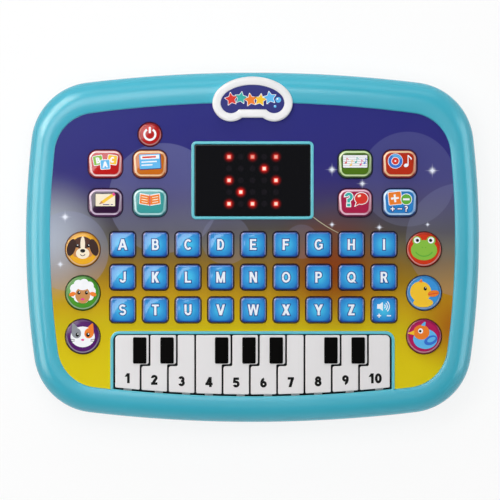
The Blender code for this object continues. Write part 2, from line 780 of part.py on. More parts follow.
def back_rings(inset, rise, turns):
    """The back's skin, moved inwards, from its flat to the side wall: a quarter ellipse, cut at the
    given angles in degrees."""
    rings = []
    for turn in turns:
        angle = math.radians(turn)
        outline = body_outline(inset + BACK_ROLL_WIDTH * (1 - math.sin(angle)))
        rings.append(ring(outline, back_z + rise + BACK_ROLL_DEPTH * (1 - math.cos(angle))))
    return rings


def screw_places():
    """The six housing screws: on each side, one beyond the screen and one in each corner."""
    corner_x = deck_half_width - SCREW_SIDE_INSET
    middle_x = SCREEN_WIDTH / 2 + RIM_WIDTH + BOSS_RADIUS
    upper_y = deck_top - SCREW_TOP_INSET
    lower_y = animal_ys[-1] - ANIMAL_DIAMETER / 2 - SCREW_BELOW_ANIMALS
    one_side = ((corner_x, upper_y), (middle_x, upper_y), (corner_x, lower_y))
    return [(side * x, y) for side in (-1, 1) for x, y in one_side]


def post_places():
    """Four posts that clamp the mat and the board between the housings."""
    upper_x = function_inner - SCREEN_SIDE_GAP / 2 + LENS_FLANGE / 2
    lower_x = well_half_width + RIM_WIDTH + 2 * POST_RADIUS
    animals_end = animal_ys[-1] - ANIMAL_DIAMETER / 2 - FLANGE_WIDTH
    lower_y = animals_end - POST_RADIUS - POST_CLEARANCE
    return [(side * x, y) for side in (-1, 1) for x, y in ((upper_x, screen_y), (lower_x, lower_y))]


def peg_places():
    return [(side * badge_lobe_x, badge_centre_y - PEG_BELOW_LOBE) for side in (-1, 1)]


def lens_outline(grow=0.0):
    """The lens's flange, which lies under the deck inside a frame of its own."""
    width = SCREEN_WIDTH + 2 * LENS_FLANGE + 2 * grow
    height = SCREEN_HEIGHT + 2 * LENS_FLANGE + 2 * grow
    return rounded_rectangle(width, height, SCREEN_CORNER + grow, (0.0, screen_y))


def front_shell():
    """The front housing's closed skin: the deck, the bezel, the side wall and the inside."""
    lip = body_outline(WALL - LIP_THICKNESS - RUNNING_GAP)
    skin = [ring(deck_outline(), deck_z)] + bezel_rings(0.0, CROWN_TURNS)
    skin += [
        ring(body_outline(), front_seam_z),
        ring(lip, front_seam_z),
        ring(lip, front_seam_z + LIP_HEIGHT),
        ring(body_outline(WALL), front_seam_z + LIP_HEIGHT),
    ]
    skin += reversed(bezel_rings(-WALL, INNER_TURNS))
    return skin + [ring(deck_outline(-WALL), under_deck_z)]


def front_additions():
    """What stands on the deck or hangs under it: two rims, a rail, six bosses and four posts."""
    root = deck_z - DECK_THICKNESS / 2
    screen_rim = rounded_rectangle(
        SCREEN_WIDTH + 2 * RIM_WIDTH,
        SCREEN_HEIGHT + 2 * RIM_WIDTH,
        SCREEN_CORNER + RIM_WIDTH / 2,
        (0.0, screen_y),
    )
    rail_depth = PIVOT_RADIUS + RAIL_WALL
    rail = rectangle(2 * well_half_width, rail_depth, (0.0, pivot_y + rail_depth / 2))
    parts = [
        prism(screen_rim, root, rim_z),
        prism(well_outline(RIM_WIDTH, -RIM_WIDTH), root, rim_z),
        prism(rail, pivot_z - RAIL_DROP, root - RUNNING_GAP),
    ]
    for place in screw_places():
        parts.append(prism(circle(BOSS_RADIUS, 8, place), boss_end_z, root))
    for place in post_places():
        parts.append(prism(circle(POST_RADIUS, 8, place), mat_top_z + RUNNING_GAP, root))
    return parts


def front_openings():
    """The window, the piano's well, a hole for each cap, the badge's peg holes and the pilots."""
    window = rounded_rectangle(SCREEN_WIDTH, SCREEN_HEIGHT, SCREEN_CORNER, (0.0, screen_y))
    below = mat_top_z
    cuts = [
        prism(window, below, rim_z + OVERSHOOT),
        prism(well_outline(), below, crest_z + OVERSHOOT),
    ]
    for _, outline_of, _, _, places in cap_families():
        for _, centre in places:
            hole = moved(outline_of(RUNNING_GAP), centre)
            cuts.append(prism(hole, below, rim_z + OVERSHOOT))
    for place in peg_places():
        cuts.append(prism(circle(PEG_RADIUS + RUNNING_GAP, 8, place), below, rim_z))
    for place in screw_places():
        pilot = circle(SCREW_PILOT_RADIUS, 6, place)
        cuts.append(prism(pilot, boss_end_z - OVERSHOOT, boss_end_z + PILOT_DEPTH))
    return cuts


def make_front_housing():
    housing = solid("front_housing", [front_shell()], "teal")
    combine(housing, front_additions(), "UNION")
    lens_frame = tube(
        lens_outline(RUNNING_GAP + LENS_FRAME_WALL),
        lens_outline(RUNNING_GAP),
        flange_bottom_z,
        deck_z - DECK_THICKNESS / 2,
    )
    combine(housing, [], "UNION", tubes=[lens_frame])
    combine(housing, front_openings(), "DIFFERENCE")
    groove_end = well_half_width + OVERSHOOT
    groove = x_cylinder(
        pivot_y, pivot_z, PIVOT_RADIUS + RUNNING_GAP, -groove_end, groove_end, 12
    )
    combine(housing, [groove], "DIFFERENCE")


# --- Rear housing and battery door ----------------------------------------------------------------
bay_size = (
    CELL_LENGTH + CONTACT_ROOM,
    CELL_COUNT * CELL_DIAMETER + (CELL_COUNT + 1) * CELL_CLEARANCE / 2,
)
recess_size = tuple(side + 2 * DOOR_LEDGE for side in bay_size)
block_size = tuple(side + 2 * BAY_WALL for side in recess_size)
door_size = tuple(side - 2 * RUNNING_GAP for side in recess_size)
hinge_y = BAY_CENTRE[1] + door_size[1] / 2 - DOOR_THICKNESS / 2
hinge_z = back_z + DOOR_THICKNESS / 2
ear_centre = (BAY_CENTRE[0], BAY_CENTRE[1] - door_size[1] / 2)
ear_screw = (ear_centre[0], ear_centre[1] - EAR_RADIUS / 3)
hook_low_z = door_top_z + RUNNING_GAP
hook_top_z = hook_low_z + HOOK_THICKNESS
hook_xs = (BAY_CENTRE[0] - HOOK_SPACING / 2, BAY_CENTRE[0] + HOOK_SPACING / 2)
speaker_centre = (
    BAY_CENTRE[0] - block_size[0] / 2 - SPEAKER_GAP_FROM_BAY - SPEAKER_RADIUS,
    BAY_CENTRE[1],
)


def foot_places():
    x, y = body_half_width - FOOT_SIDE_INSET, body_top - FOOT_END_INSET
    return [(sx * x, sy * y) for sx in (-1, 1) for sy in (-1, 1)]


def grille_slots():
    """Slots whose ends lie on a circle, in front of the speaker's cone."""
    slots = []
    for i in range(GRILLE_SLOTS):
        rise = (i - (GRILLE_SLOTS - 1) / 2) * GRILLE_PITCH
        length = 2 * math.sqrt(GRILLE_RADIUS**2 - rise**2)
        centre = (speaker_centre[0], speaker_centre[1] + rise)
        slots.append(rectangle(length, GRILLE_SLOT_WIDTH, centre))
    return slots


def door_outline(grow=0.0):
    """The door's plan: a half-round ear and two round corners in front, and square ones at the
    hinge."""
    x, y = BAY_CENTRE
    half_width, half_depth = door_size[0] / 2 + grow, door_size[1] / 2 + grow
    corner = DOOR_CORNER + grow
    left, right, front = x - half_width, x + half_width, y - half_depth
    points = arc((left + corner, front + corner), corner, math.pi, 1.5 * math.pi, 3)
    points += arc((x, front), EAR_RADIUS + grow, math.pi, 2 * math.pi, 8)
    points += arc((right - corner, front + corner), corner, 1.5 * math.pi, 2 * math.pi, 3)
    return points + [(right, y + half_depth), (left, y + half_depth)]


def cradle_ribs():
    """Low ribs on the bay's ceiling that keep the cells apart."""
    pitch = bay_size[1] / CELL_COUNT
    ribs = []
    for i in range(1, CELL_COUNT):
        centre = (BAY_CENTRE[0], BAY_CENTRE[1] - bay_size[1] / 2 + i * pitch)
        plan = rectangle(CRADLE_SHARE * CELL_LENGTH, RIB_THICKNESS, centre)
        ribs.append(prism(plan, ceiling_z - CRADLE_HEIGHT, ceiling_z + BAY_ROOF / 2))
    return ribs


def add_ribs(housing, root):
    """Stiffening ribs on the back's inside: two along Y and two along X, clear of the bay."""
    rib_top = floor_z + RIB_HEIGHT
    rib_x = block_size[0] / 2 + RIB_FROM_BAY
    rib_y = block_size[1] / 2 + RIB_FROM_BAY
    x, y = BAY_CENTRE
    long_way = 2 * (body_half_width - RIB_END_INSET)
    short_way = 2 * (body_top - RIB_END_INSET)
    upright = [rectangle(RIB_THICKNESS, short_way, (x + side * rib_x, 0.0)) for side in (-1, 1)]
    level = [rectangle(long_way, RIB_THICKNESS, (0.0, y + side * rib_y)) for side in (-1, 1)]
    for group in (upright, level):
        combine(housing, [prism(plan, root, rib_top) for plan in group], "UNION")


def rear_shell():
    """The rear housing's closed skin: the back, the side wall, the lip and the inside."""
    lip = body_outline(WALL - LIP_THICKNESS)
    skin = back_rings(0.0, 0.0, (0, 30, 60, 90))
    skin += [
        ring(body_outline(), rear_seam_z),
        ring(lip, rear_seam_z),
        ring(lip, lip_top_z),
        ring(body_outline(WALL), lip_top_z),
    ]
    return skin + back_rings(WALL, FLOOR_THICKNESS, (0, 45, 90))[::-1]


def rear_additions(root):
    """What stands on the back: six pillars, four posts and four feet."""
    parts = []
    for place in screw_places():
        parts.append(prism(circle(PILLAR_RADIUS, 8, place), root, pillar_top_z))
    for place in post_places():
        parts.append(prism(circle(POST_RADIUS, 8, place), root, post_top_z))
    for place in foot_places():
        parts.append(prism(circle(FOOT_RADIUS, 12, place), 0.0, root))
    return parts


def rear_openings():
    """The door's opening, the speaker's grille and a stepped hole up each pillar for its screw."""
    under, seat_z = back_z - OVERSHOOT, pillar_top_z - HEAD_SEAT
    inside = floor_z + OVERSHOOT
    cuts = [prism(door_outline(RUNNING_GAP), under, inside)]
    cuts += [prism(slot, under, inside) for slot in grille_slots()]
    for place in screw_places():
        head, shank = circle(SCREW_HEAD_RADIUS, 8, place), circle(SCREW_RADIUS, 8, place)
        stepped = [ring(head, under), ring(head, seat_z)]
        stepped += [ring(shank, seat_z), ring(shank, pillar_top_z + OVERSHOOT)]
        cuts.append(stepped)
    return cuts


def hook_pockets():
    """Room above the floor's edge in which the door's two hooks turn."""
    swing = math.hypot(DOOR_THICKNESS / 2 + HOOK_REACH, hook_top_z - hinge_z) + 2 * RUNNING_GAP
    near_y = BAY_CENTRE[1] + bay_size[1] / 2 - OVERSHOOT
    depth = hinge_y + swing - near_y
    width = HOOK_WIDTH + 4 * RUNNING_GAP
    plans = [rectangle(width, depth, (x, near_y + depth / 2)) for x in hook_xs]
    return [prism(plan, door_top_z, hinge_z + swing) for plan in plans]


def make_rear_housing():
    housing = solid("rear_housing", [rear_shell()], "teal")
    root = back_z + FLOOR_THICKNESS / 2
    collar = tube(
        circle(SPEAKER_RADIUS + RUNNING_GAP + COLLAR_WALL, 20, speaker_centre),
        circle(SPEAKER_RADIUS + RUNNING_GAP, 20, speaker_centre),
        root,
        floor_z + COLLAR_HEIGHT,
    )
    combine(housing, rear_additions(root), "UNION", tubes=[collar])
    add_ribs(housing, root)
    combine(housing, rear_openings(), "DIFFERENCE")
    combine(housing, hook_pockets(), "DIFFERENCE")


def make_battery_tub():
    """The cells' tub, over the door's opening: a block with the bay sunk in it from below, ribs
    between the cells, and a boss with a pilot hole for the door's screw. Its foot is the ledge that
    the door closes against."""
    low = floor_z + SEAT_GAP
    tub = solid("battery_tub", [prism(rectangle(*block_size, BAY_CENTRE), low, bay_top_z)], "teal")
    boss = circle(EAR_RADIUS + RUNNING_GAP + BAY_WALL, 12, ear_centre)
    combine(tub, [prism(boss, low, door_top_z + EAR_BOSS_HEIGHT)], "UNION")
    bay = prism(rectangle(*bay_size, BAY_CENTRE), low - OVERSHOOT, ceiling_z)
    pilot = prism(
        circle(SCREW_PILOT_RADIUS, 6, ear_screw), low - OVERSHOOT, door_top_z + EAR_PILOT
    )
    combine(tub, [bay, pilot], "DIFFERENCE")
    combine(tub, cradle_ribs(), "UNION")
    combine(tub, hook_pockets(), "DIFFERENCE")


def make_battery_door():
    """A flush door that turns on its rounded rear edge, with two hooks over the back's inner lip."""
    radius = DOOR_THICKNESS / 2
    plate = [(x, min(y, hinge_y)) for x, y in door_outline()]
    origin = (BAY_CENTRE[0], hinge_y, hinge_z)
    door = solid("battery_door", [prism(plate, back_z, door_top_z)], "teal", origin)
    left, right = BAY_CENTRE[0] - door_size[0] / 2, BAY_CENTRE[0] + door_size[0] / 2
    combine(door, [x_cylinder(hinge_y, hinge_z, radius, left, right, 12)], "UNION")
    hole = circle(SCREW_RADIUS, 8, ear_screw)
    combine(door, [prism(hole, back_z - OVERSHOOT, door_top_z + OVERSHOOT)], "DIFFERENCE")
    heels, hooks = [], []
    for x in hook_xs:
        heel = rectangle(HOOK_WIDTH, HOOK_ROOT, (x, hinge_y - HOOK_ROOT / 2))
        length = HOOK_ROOT + radius + HOOK_REACH
        hook = rectangle(HOOK_WIDTH, length, (x, hinge_y - HOOK_ROOT + length / 2))
        heels.append(prism(heel, hinge_z, hook_low_z + HOOK_THICKNESS / 2))
        hooks.append(prism(hook, hook_low_z, hook_top_z))
    combine(door, heels, "UNION")
    combine(door, hooks, "UNION")


# --- Badge, lens and the works --------------------------------------------------------------------
def make_badge():
    """A white frame that saddles the bezel's top edge and the deck. Its underside is cut by the
    front housing's own skin, raised by the running gap."""
    top = crest_z + BADGE_THICKNESS
    body = [
        ring(badge_outline(), front_seam_z + OVERSHOOT),
        ring(badge_outline(), top - BADGE_EDGE),
        ring(badge_outline(BADGE_EDGE), top),
    ]
    badge = solid("badge", [body], "white")
    saddle = [ring(deck_outline(RUNNING_GAP), deck_z + RUNNING_GAP)]
    saddle += bezel_rings(RUNNING_GAP, CROWN_TURNS)
    saddle.append(ring(body_outline(-RUNNING_GAP), front_seam_z))
    combine(badge, [saddle], "DIFFERENCE")
    pocket = prism(badge_outline(BADGE_RIM), top - BADGE_POCKET, top + OVERSHOOT)
    combine(badge, [pocket], "DIFFERENCE")
    pegs = [
        prism(circle(PEG_RADIUS, 8, place), flange_bottom_z, deck_z + OVERSHOOT)
        for place in peg_places()
    ]
    combine(badge, pegs, "UNION")


def make_screen_lens():
    window = rounded_rectangle(
        SCREEN_WIDTH - 2 * RUNNING_GAP,
        SCREEN_HEIGHT - 2 * RUNNING_GAP,
        SCREEN_CORNER,
        (0.0, screen_y),
    )
    flange = lens_outline()
    rings = [
        ring(flange, flange_bottom_z),
        ring(flange, flange_top_z),
        ring(window, flange_top_z),
        ring(window, rim_z - LENS_RECESS),
    ]
    solid("screen_lens", [rings], "smoke")


def stem_places():
    """Where the 52 stems press: under each cap, and under each white key."""
    places = [centre for *_, group in cap_families() for _, centre in group]
    return places + [(sum(narrow_span(i)) / 2, piano_stem_y) for i in range(WHITE_KEYS)]


def works_outline():
    """The plan of the mat and the board: wide under the buttons, narrow under the piano, and with a
    step for power."""
    wide = animal_x + ANIMAL_DIAMETER / 2 + BOARD_MARGIN
    narrow = well_half_width + RIM_WIDTH + 3 * POST_RADIUS + BOARD_MARGIN
    bottom = piano_stem_y - 1.5 * STEM_WIDTH
    waist = animal_ys[-1] - 1.5 * STEM_WIDTH
    top = screen_y + SCREEN_HEIGHT / 2 + LENS_FLANGE
    power_x, power_y = power_centre
    step = 1.5 * STEM_WIDTH
    right = [(narrow, bottom), (narrow, waist), (wide, waist), (wide, top)]
    power = [
        (power_x + step, top),
        (power_x + step, power_y + STEM_WIDTH),
        (power_x - step, power_y + STEM_WIDTH),
        (power_x - step, top),
    ]
    return right + power + [(-x, y) for x, y in reversed(right)]


def make_key_mat():
    """The silicone sheet that springs the keys back, with a square pocket round every stem."""
    mat = solid("key_mat", [prism(works_outline(), mat_bottom_z, mat_top_z)], "silicone")
    pocket = STEM_WIDTH + 4 * RUNNING_GAP
    cuts = [
        prism(rectangle(pocket, pocket, centre), pocket_z, mat_top_z + OVERSHOOT)
        for centre in stem_places()
    ]
    opening = LED_COUNT * LED_PITCH + 2 * LED_MARGIN
    window = rectangle(opening, opening, (0.0, screen_y))
    cuts.append(prism(window, mat_bottom_z - OVERSHOOT, mat_top_z + OVERSHOOT))
    combine(mat, cuts, "DIFFERENCE")


def make_main_board():
    board = solid("main_board", [prism(works_outline(), board_bottom_z, board_top_z)], "board")
    middle = (LED_COUNT - 1) / 2
    parts = []
    for row in range(LED_COUNT):
        for column in range(LED_COUNT):
            place = ((column - middle) * LED_PITCH, screen_y + (row - middle) * LED_PITCH)
            led = circle(LED_DIAMETER / 2, 6, place)
            parts.append(prism(led, board_top_z - BOARD_THICKNESS / 2, board_top_z + LED_HEIGHT))
    combine(board, parts, "UNION")


def main():
    for leftover in list(bpy.data.objects):
        bpy.data.objects.remove(leftover)
    make_front_housing()
    make_rear_housing()
    make_battery_tub()
    make_battery_door()
    make_badge()
    make_screen_lens()
    make_key_mat()
    make_main_board()
    make_caps()
    for i in range(WHITE_KEYS):
        make_piano_key(i)


main()
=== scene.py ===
"""Looks of a toy learning tablet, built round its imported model.

Sizes are in millimetres and become metres in a mesh. X runs across the face, Y up it, Z out of it.
Most pieces are lofts: one flat outline, carried through a profile of offsets and heights. The rest
are plates: flat outlines with holes and a thickness.
"""

import json
import math

import bmesh
import bpy
import numpy as np
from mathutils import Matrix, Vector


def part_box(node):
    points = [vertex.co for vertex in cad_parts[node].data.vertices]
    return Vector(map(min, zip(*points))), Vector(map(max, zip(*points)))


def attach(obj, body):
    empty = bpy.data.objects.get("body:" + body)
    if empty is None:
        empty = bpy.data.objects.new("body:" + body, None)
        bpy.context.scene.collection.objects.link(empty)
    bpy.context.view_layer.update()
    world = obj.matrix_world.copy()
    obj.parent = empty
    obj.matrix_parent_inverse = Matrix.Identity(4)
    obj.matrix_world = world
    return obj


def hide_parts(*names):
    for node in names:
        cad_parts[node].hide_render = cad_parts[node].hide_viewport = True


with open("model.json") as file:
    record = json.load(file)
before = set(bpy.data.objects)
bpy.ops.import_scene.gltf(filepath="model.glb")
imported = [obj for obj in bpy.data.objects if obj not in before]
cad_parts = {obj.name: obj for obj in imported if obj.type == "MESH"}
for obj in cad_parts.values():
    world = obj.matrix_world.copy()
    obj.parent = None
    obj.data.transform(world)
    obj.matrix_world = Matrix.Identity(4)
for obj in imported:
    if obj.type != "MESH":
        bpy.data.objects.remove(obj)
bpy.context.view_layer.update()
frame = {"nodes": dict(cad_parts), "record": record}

MM = 0.001


def box_of(node):
    """A CAD node's lowest and highest corners, in millimetres."""
    low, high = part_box(node)
    return np.array(low) / MM, np.array(high) / MM


# --- Sizes, as the CAD part has them --------------------------------------------------------------
BEZEL_SIDE, BEZEL_TOP, BEZEL_BOTTOM = 12.6, 15.7, 13.2
BEZEL_ROLL_DEPTH, BEZEL_ROLL_SHARE = 9.0, 0.7
BEZEL_FALL, BEZEL_EDGE = 0.5, 0.4
WIDEST_ABOVE_CENTRE = 5.0
BODY_BOWS, BODY_CORNER = (725.0, 725.0, 460.0), 33.4
DECK_BOWS, DECK_CORNER = (650.0, 710.0, 440.0), 22.5
DECK_RECESS, DECK_THICKNESS = 1.8, 2.2
WALL, LIP_THICKNESS, LIP_HEIGHT = 2.4, 1.0, 1.6
RIM_WIDTH, RIM_HEIGHT = 1.6, 0.9
RUNNING_GAP = 0.3
FLANGE_WIDTH, FLANGE_THICKNESS = 0.7, 1.0
LETTER_CORNER, FUNCTION_CORNER = 2.4, 4.8
LENS_CORNER, LENS_FLANGE = 1.0, 2.2
LED_PITCH = 6.2
WHITE_KEYS, KEY_SLOT, WELL_GAP = 10, 0.95, 1.0
PIANO_LENGTH, WELL_LEDGE, WELL_CORNER = 32.8, 0.5, 3.2
LAST_KEY_EXTRA, STEP_SHIFT, STEP_LENGTH = 2.8, 4.7, 16.4
STEPPED_KEYS = (0, 1, 3, 4, 5, 7, 8)
WHITE_HEIGHT = 1.6
BLACK_WIDTH, BLACK_LENGTH, BLACK_HEIGHT, BLACK_EDGE = 7.1, 13.9, 1.0, 1.15
TAB_WIDTH, TAB_THICKNESS, TAB_REACH = 4.3, 1.3, 2.0
BADGE_HALF_WIDTH, BADGE_RISE = 21.2, 13.9
BADGE_LOBE_RADIUS, BADGE_NOTCH, BADGE_RIM, BADGE_POCKET = 9.8, 2.0, 4.3, 0.8
HEAD_SEAT = 4.0

# --- Places, worked out from the frame ------------------------------------------------------------
front_low, front_high = box_of("front_housing")
body_half_width, body_top, crest_z = front_high
seam_z = front_low[2]
deck_half_width = body_half_width - BEZEL_SIDE
deck_top, deck_bottom = body_top - BEZEL_TOP, BEZEL_BOTTOM - body_top
deck_z = crest_z - DECK_RECESS
under_deck_z = deck_z - DECK_THICKNESS
rim_z = deck_z + RIM_HEIGHT
flange_top_z = under_deck_z - RUNNING_GAP
flange_bottom_z = flange_top_z - FLANGE_THICKNESS
lens_low, lens_high = box_of("screen_lens")
lens_middle = (lens_low[:2] + lens_high[:2]) / 2
_, last_key_high = box_of("piano_key_10")
well_half_width = last_key_high[0] + WELL_GAP
well_bottom = deck_bottom + WELL_LEDGE
well_top = well_bottom + PIANO_LENGTH
white_top_z = deck_z + WHITE_HEIGHT
_, badge_high = box_of("badge")
badge_centre_y = badge_high[1] - BADGE_RISE
badge_lobe_x = BADGE_HALF_WIDTH - BADGE_LOBE_RADIUS

LETTERS = "abcdefghijklmnopqrstuvwxyz"
SMOOTH_ANGLE = 32.0


def cap_plan(node):
    """A cap's centre, its size inside its hidden flange, and the height of its top."""
    low, high = box_of(node)
    reach = FLANGE_WIDTH + RUNNING_GAP
    width = high[0] - low[0] - 2 * reach
    height = high[1] - low[1] - 2 * reach
    centre = (low[:2] + high[:2]) / 2
    if node == "power_button":  # its flange has a flat below, so its box isn't centred
        centre[1] = high[1] - reach - width / 2
        height = width
    return centre, (width, height), high[2]


# --- Materials ------------------------------------------------------------------------------------
def linear(code):
    """The linear RGBA of an sRGB hex colour, by the sRGB curve."""
    level = np.array([int(code[i : i + 2], 16) for i in (1, 3, 5)]) / 255
    curve = np.where(level <= 0.04045, level / 12.92, ((level + 0.055) / 1.055) ** 2.4)
    return (*curve.tolist(), 1.0)


def add(tree, kind, sockets=(), out=0, **settings):
    """Adds a shader node with its settings, and gives one of its outputs. Its sockets are filled in
    order, or by number or name, each with a plain value, a colour code or another's output."""
    made = tree.nodes.new("ShaderNode" + kind)
    for name, value in settings.items():
        setattr(made, name, value)
    for key, value in sockets.items() if isinstance(sockets, dict) else enumerate(sockets):
        if isinstance(value, bpy.types.NodeSocket):
            tree.links.new(value, made.inputs[key])
        else:
            made.inputs[key].default_value = linear(value) if isinstance(value, str) else value
    return made.outputs[out]


def product(tree, *shares):
    """Shares multiplied. Each is a number, an output, or a smooth step of an output between a start
    and an end: from 0 to 1, or between the two levels that follow them."""
    whole = None
    for share in shares:
        if isinstance(share, tuple):
            step = (*share, 0.0, 1.0)[:5]
            share = add(tree, "MapRange", step, interpolation_type="SMOOTHSTEP")
        if whole is not None:
            share = add(tree, "Math", (whole, share), operation="MULTIPLY")
        whole = share
    return whole


def lay(tree, colour, *coats):
    """Lays coats over a colour, one on the other. Each is a colour and the shares whose product
    says how strongly it shows."""
    for coat, *shares in coats:
        sockets = {0: product(tree, *shares), 6: colour, 7: coat}
        colour = add(tree, "Mix", sockets, 2, data_type="RGBA")
    return colour


def paint(made, colour, *coats, socket="Base Color"):
    """Gives a material a colour with coats laid over it."""
    tree = made.node_tree
    tree.links.new(lay(tree, colour, *coats), tree.nodes["Principled BSDF"].inputs[socket])
    return made


def start_finish(name, colour, roughness, grain=None, **sockets):
    """Starts a material, and gives it with its tree and a point's place in millimetres. roughness
    is one number, or drifts between two over patches of a size. grain is the size and the depth of
    a bump. The rest are plain values for the shader's own sockets."""
    made = bpy.data.materials.new(name)
    made.use_nodes = True
    tree = made.node_tree
    shader = tree.nodes["Principled BSDF"]
    shader.inputs["Base Color"].default_value = linear(colour)
    for key, value in sockets.items():
        shader.inputs[key.replace("_", " ").title().replace("Ior", "IOR")].default_value = value
    place = add(tree, "TexCoord", out="Object")
    point = add(tree, "VectorMath", {0: place, 3: 1 / MM}, operation="SCALE")
    if isinstance(roughness, tuple):
        low, high, patch = roughness
        noise = add(tree, "TexNoise", {"Vector": point, "Scale": 1 / patch, "Detail": 3.0})
        drift = add(tree, "MapRange", (noise, 0.3, 0.7, low, high))
        tree.links.new(drift, shader.inputs["Roughness"])
    else:
        shader.inputs["Roughness"].default_value = roughness
    if grain:
        size, depth = grain
        noise = add(tree, "TexNoise", {"Vector": point, "Scale": 1 / size, "Detail": 2.0})
        bump = add(tree, "Bump", {"Height": noise, "Strength": 1.0, "Distance": depth * MM})
        tree.links.new(bump, shader.inputs["Normal"])
    return made, tree, point


def moulded_abs(name, colour, pale, roughness, shine=0.5):
    """Injection moulded ABS from a lightly textured tool: an even satin colour with a soft orange
    peel, a little cloudy where the melt ran, and duller in patches where hands have rubbed it."""
    drift = (roughness - 0.02, roughness + 0.03, 30.0)
    grain = (0.9, 0.006)
    made, tree, point = start_finish(name, colour, drift, grain, ior=1.54, specular_ior_level=shine)
    cloud = add(tree, "TexNoise", {"Vector": point, "Scale": 1 / 45, "Detail": 1.0})
    share = add(tree, "MapRange", (cloud, 0.2, 0.8, 0.0, 1.0))
    return paint(made, colour, (pale, share))


def paper_laminate():
    """Phenolic paper laminate, as cheap boards use: tan, with fibres that run one way."""
    made, tree, point = start_finish("phenolic_paper_laminate", "#8c6a34", 0.5, (0.6, 0.01))
    along = add(tree, "Mapping", {"Vector": point, "Scale": (0.12, 1.6, 1.0)})
    fibre = add(tree, "TexNoise", {"Vector": along, "Scale": 1.0, "Detail": 5.0})
    return paint(made, "#7d5c2b", ("#a3814a", (fibre, 0.35, 0.7)))


def across_cap(tree, node, corner=None):
    """Where a point of a cap lies in plan, in millimetres: its way right and up from the middle,
    its straight way from there, and how far inside the cap's rounded outline it is, which is the
    corner's radius less the distance from the corner's square core. A round cap has no corner."""
    _, size, _ = cap_plan(node)
    corner = corner or size[0] / 2
    plan = add(tree, "UVMap", uv_map="plan")
    middle = add(tree, "VectorMath", (plan, (0.5, 0.5, 0.0)), operation="SUBTRACT")
    place = add(tree, "VectorMath", (middle, (*size, 0.0)), operation="MULTIPLY")
    right, up, _ = add(tree, "SeparateXYZ", (place,), slice(3))
    radius = add(tree, "VectorMath", (place,), "Value", operation="LENGTH")
    reach = add(tree, "VectorMath", (place,), operation="ABSOLUTE")
    core = (size[0] / 2 - corner, size[1] / 2 - corner, 0.0)
    past = add(tree, "VectorMath", (reach, core), operation="SUBTRACT")
    beyond = add(tree, "VectorMath", (past, (0.0, 0.0, 0.0)), operation="MAXIMUM")
    outside = add(tree, "VectorMath", (beyond,), "Value", operation="LENGTH")
    past_x, past_y, _ = add(tree, "SeparateXYZ", (past,), slice(3))
    nearer = add(tree, "Math", (past_x, past_y), operation="MAXIMUM")
    within = add(tree, "Math", (nearer, 0.0), operation="MINIMUM")
    inset = add(tree, "Math", (corner, outside), operation="SUBTRACT")
    return right, up, radius, add(tree, "Math", (inset, within), operation="SUBTRACT")


CAP_GRAIN = (1.5, 0.003)
GLOSS_COAT = {"specular_ior_level": 0.1, "coat_weight": 1.0, "coat_roughness": 0.05}
SOFT_COAT = {"specular_ior_level": 0.1, "coat_weight": 0.6, "coat_roughness": 0.06}


def letter_key_finish():
    """Clear gloss dome over a blue print: pale in the middle, deep blue in the corners, with
    painted shade that makes the lower corners deeper, and navy at the very edge, partly print and
    partly painted shade of the gap round the cap, under a coat that mirrors the lights."""
    name = "key_cap_clear_over_blue"
    made, tree, _ = start_finish(name, "#2c86d0", 0.25, CAP_GRAIN, **GLOSS_COAT)
    _, up, radius, inset = across_cap(tree, "letter_key_a", LETTER_CORNER)
    return paint(
        made,
        "#44c6f0",
        ("#2691da", (radius, 0.6, 5.8)),
        # Deep blue corners: print, with painted shade that makes them deeper towards the lower
        # edge.
        ("#1b3797", (radius, 5.2, 8.4), (up, 4.0, -5.0, 0.5, 1.0)),
        ("#1c4cae", (inset, 1.7, 0.7, 0.0, 0.8)),
        # Navy at the very edge: partly print, partly painted shade of the gap round the cap.
        ("#12143e", (inset, 0.95, 0.45)),
    )


def button_finish(name, face, rim, deep):
    """Gloss moulded button with a printed face that grows deeper outwards, a painted highlight that
    is a thin bright line, strongest along the left, the top and the foot, inside a deep outline
    that is partly print and partly painted shade, painted shade of the gap at the very foot, and a
    clear coat."""
    made, tree, _ = start_finish(name, face, 0.2, CAP_GRAIN, **GLOSS_COAT)
    right, up, _, inset = across_cap(tree, "function_button_letter", FUNCTION_CORNER)
    # Where the painted highlight line lies and how strongly it shows: more on the left, the top and
    # the foot.
    lowered = product(tree, (up, -4.0, 5.0, -0.2, 0.3))
    highlight_line_at = add(tree, "Math", (inset, lowered), operation="ADD")
    upright = product(tree, (right, 7.0, -7.0, 0.45, 0.85))
    tall = add(tree, "Math", (up,), operation="ABSOLUTE")
    ends = product(tree, (tall, 4.6, 6.0, 0.0, 0.95))
    level = add(tree, "Math", (upright, ends), operation="MAXIMUM")
    return paint(
        made,
        face,
        (deep, (inset, 3.4, 1.4, 0.0, 0.35)),
        # Painted highlight: the bright line that stands for the lamps mirrored in the shoulder.
        (rim, (highlight_line_at, 0.85, 1.15), (highlight_line_at, 2.05, 1.75), level),
        # Deep outline outside the line: partly print, partly painted shade.
        (deep, (highlight_line_at, 1.05, 0.6)),
        # Painted shade of the gap at the very foot.
        ("#241030", (inset, 0.5, 0.15, 0.0, 0.6)),
    )


def disc_finish(name, face, deep, node="animal_button_dog"):
    """Round gloss button: printed face with a deep ring, a fine bright line near its foot that is a
    painted highlight, stronger on its lower side, and painted shade of the gap at the very foot.
    """
    made, tree, _ = start_finish(name, face, 0.24, CAP_GRAIN, **SOFT_COAT)
    _, up, _, inset = across_cap(tree, node)
    return paint(
        made,
        face,
        (deep, (inset, 2.0, 0.7, 0.0, 0.5)),
        # Painted highlight: a faint white line near the foot, stronger towards the bottom.
        ("#ffffff", (inset, 0.5, 0.8), (inset, 1.4, 1.1), 0.25, (up, 2.0, -6.0)),
        # Deep at the very foot: partly print, partly painted shade of the gap.
        (deep, (inset, 0.6, 0.2)),
    )


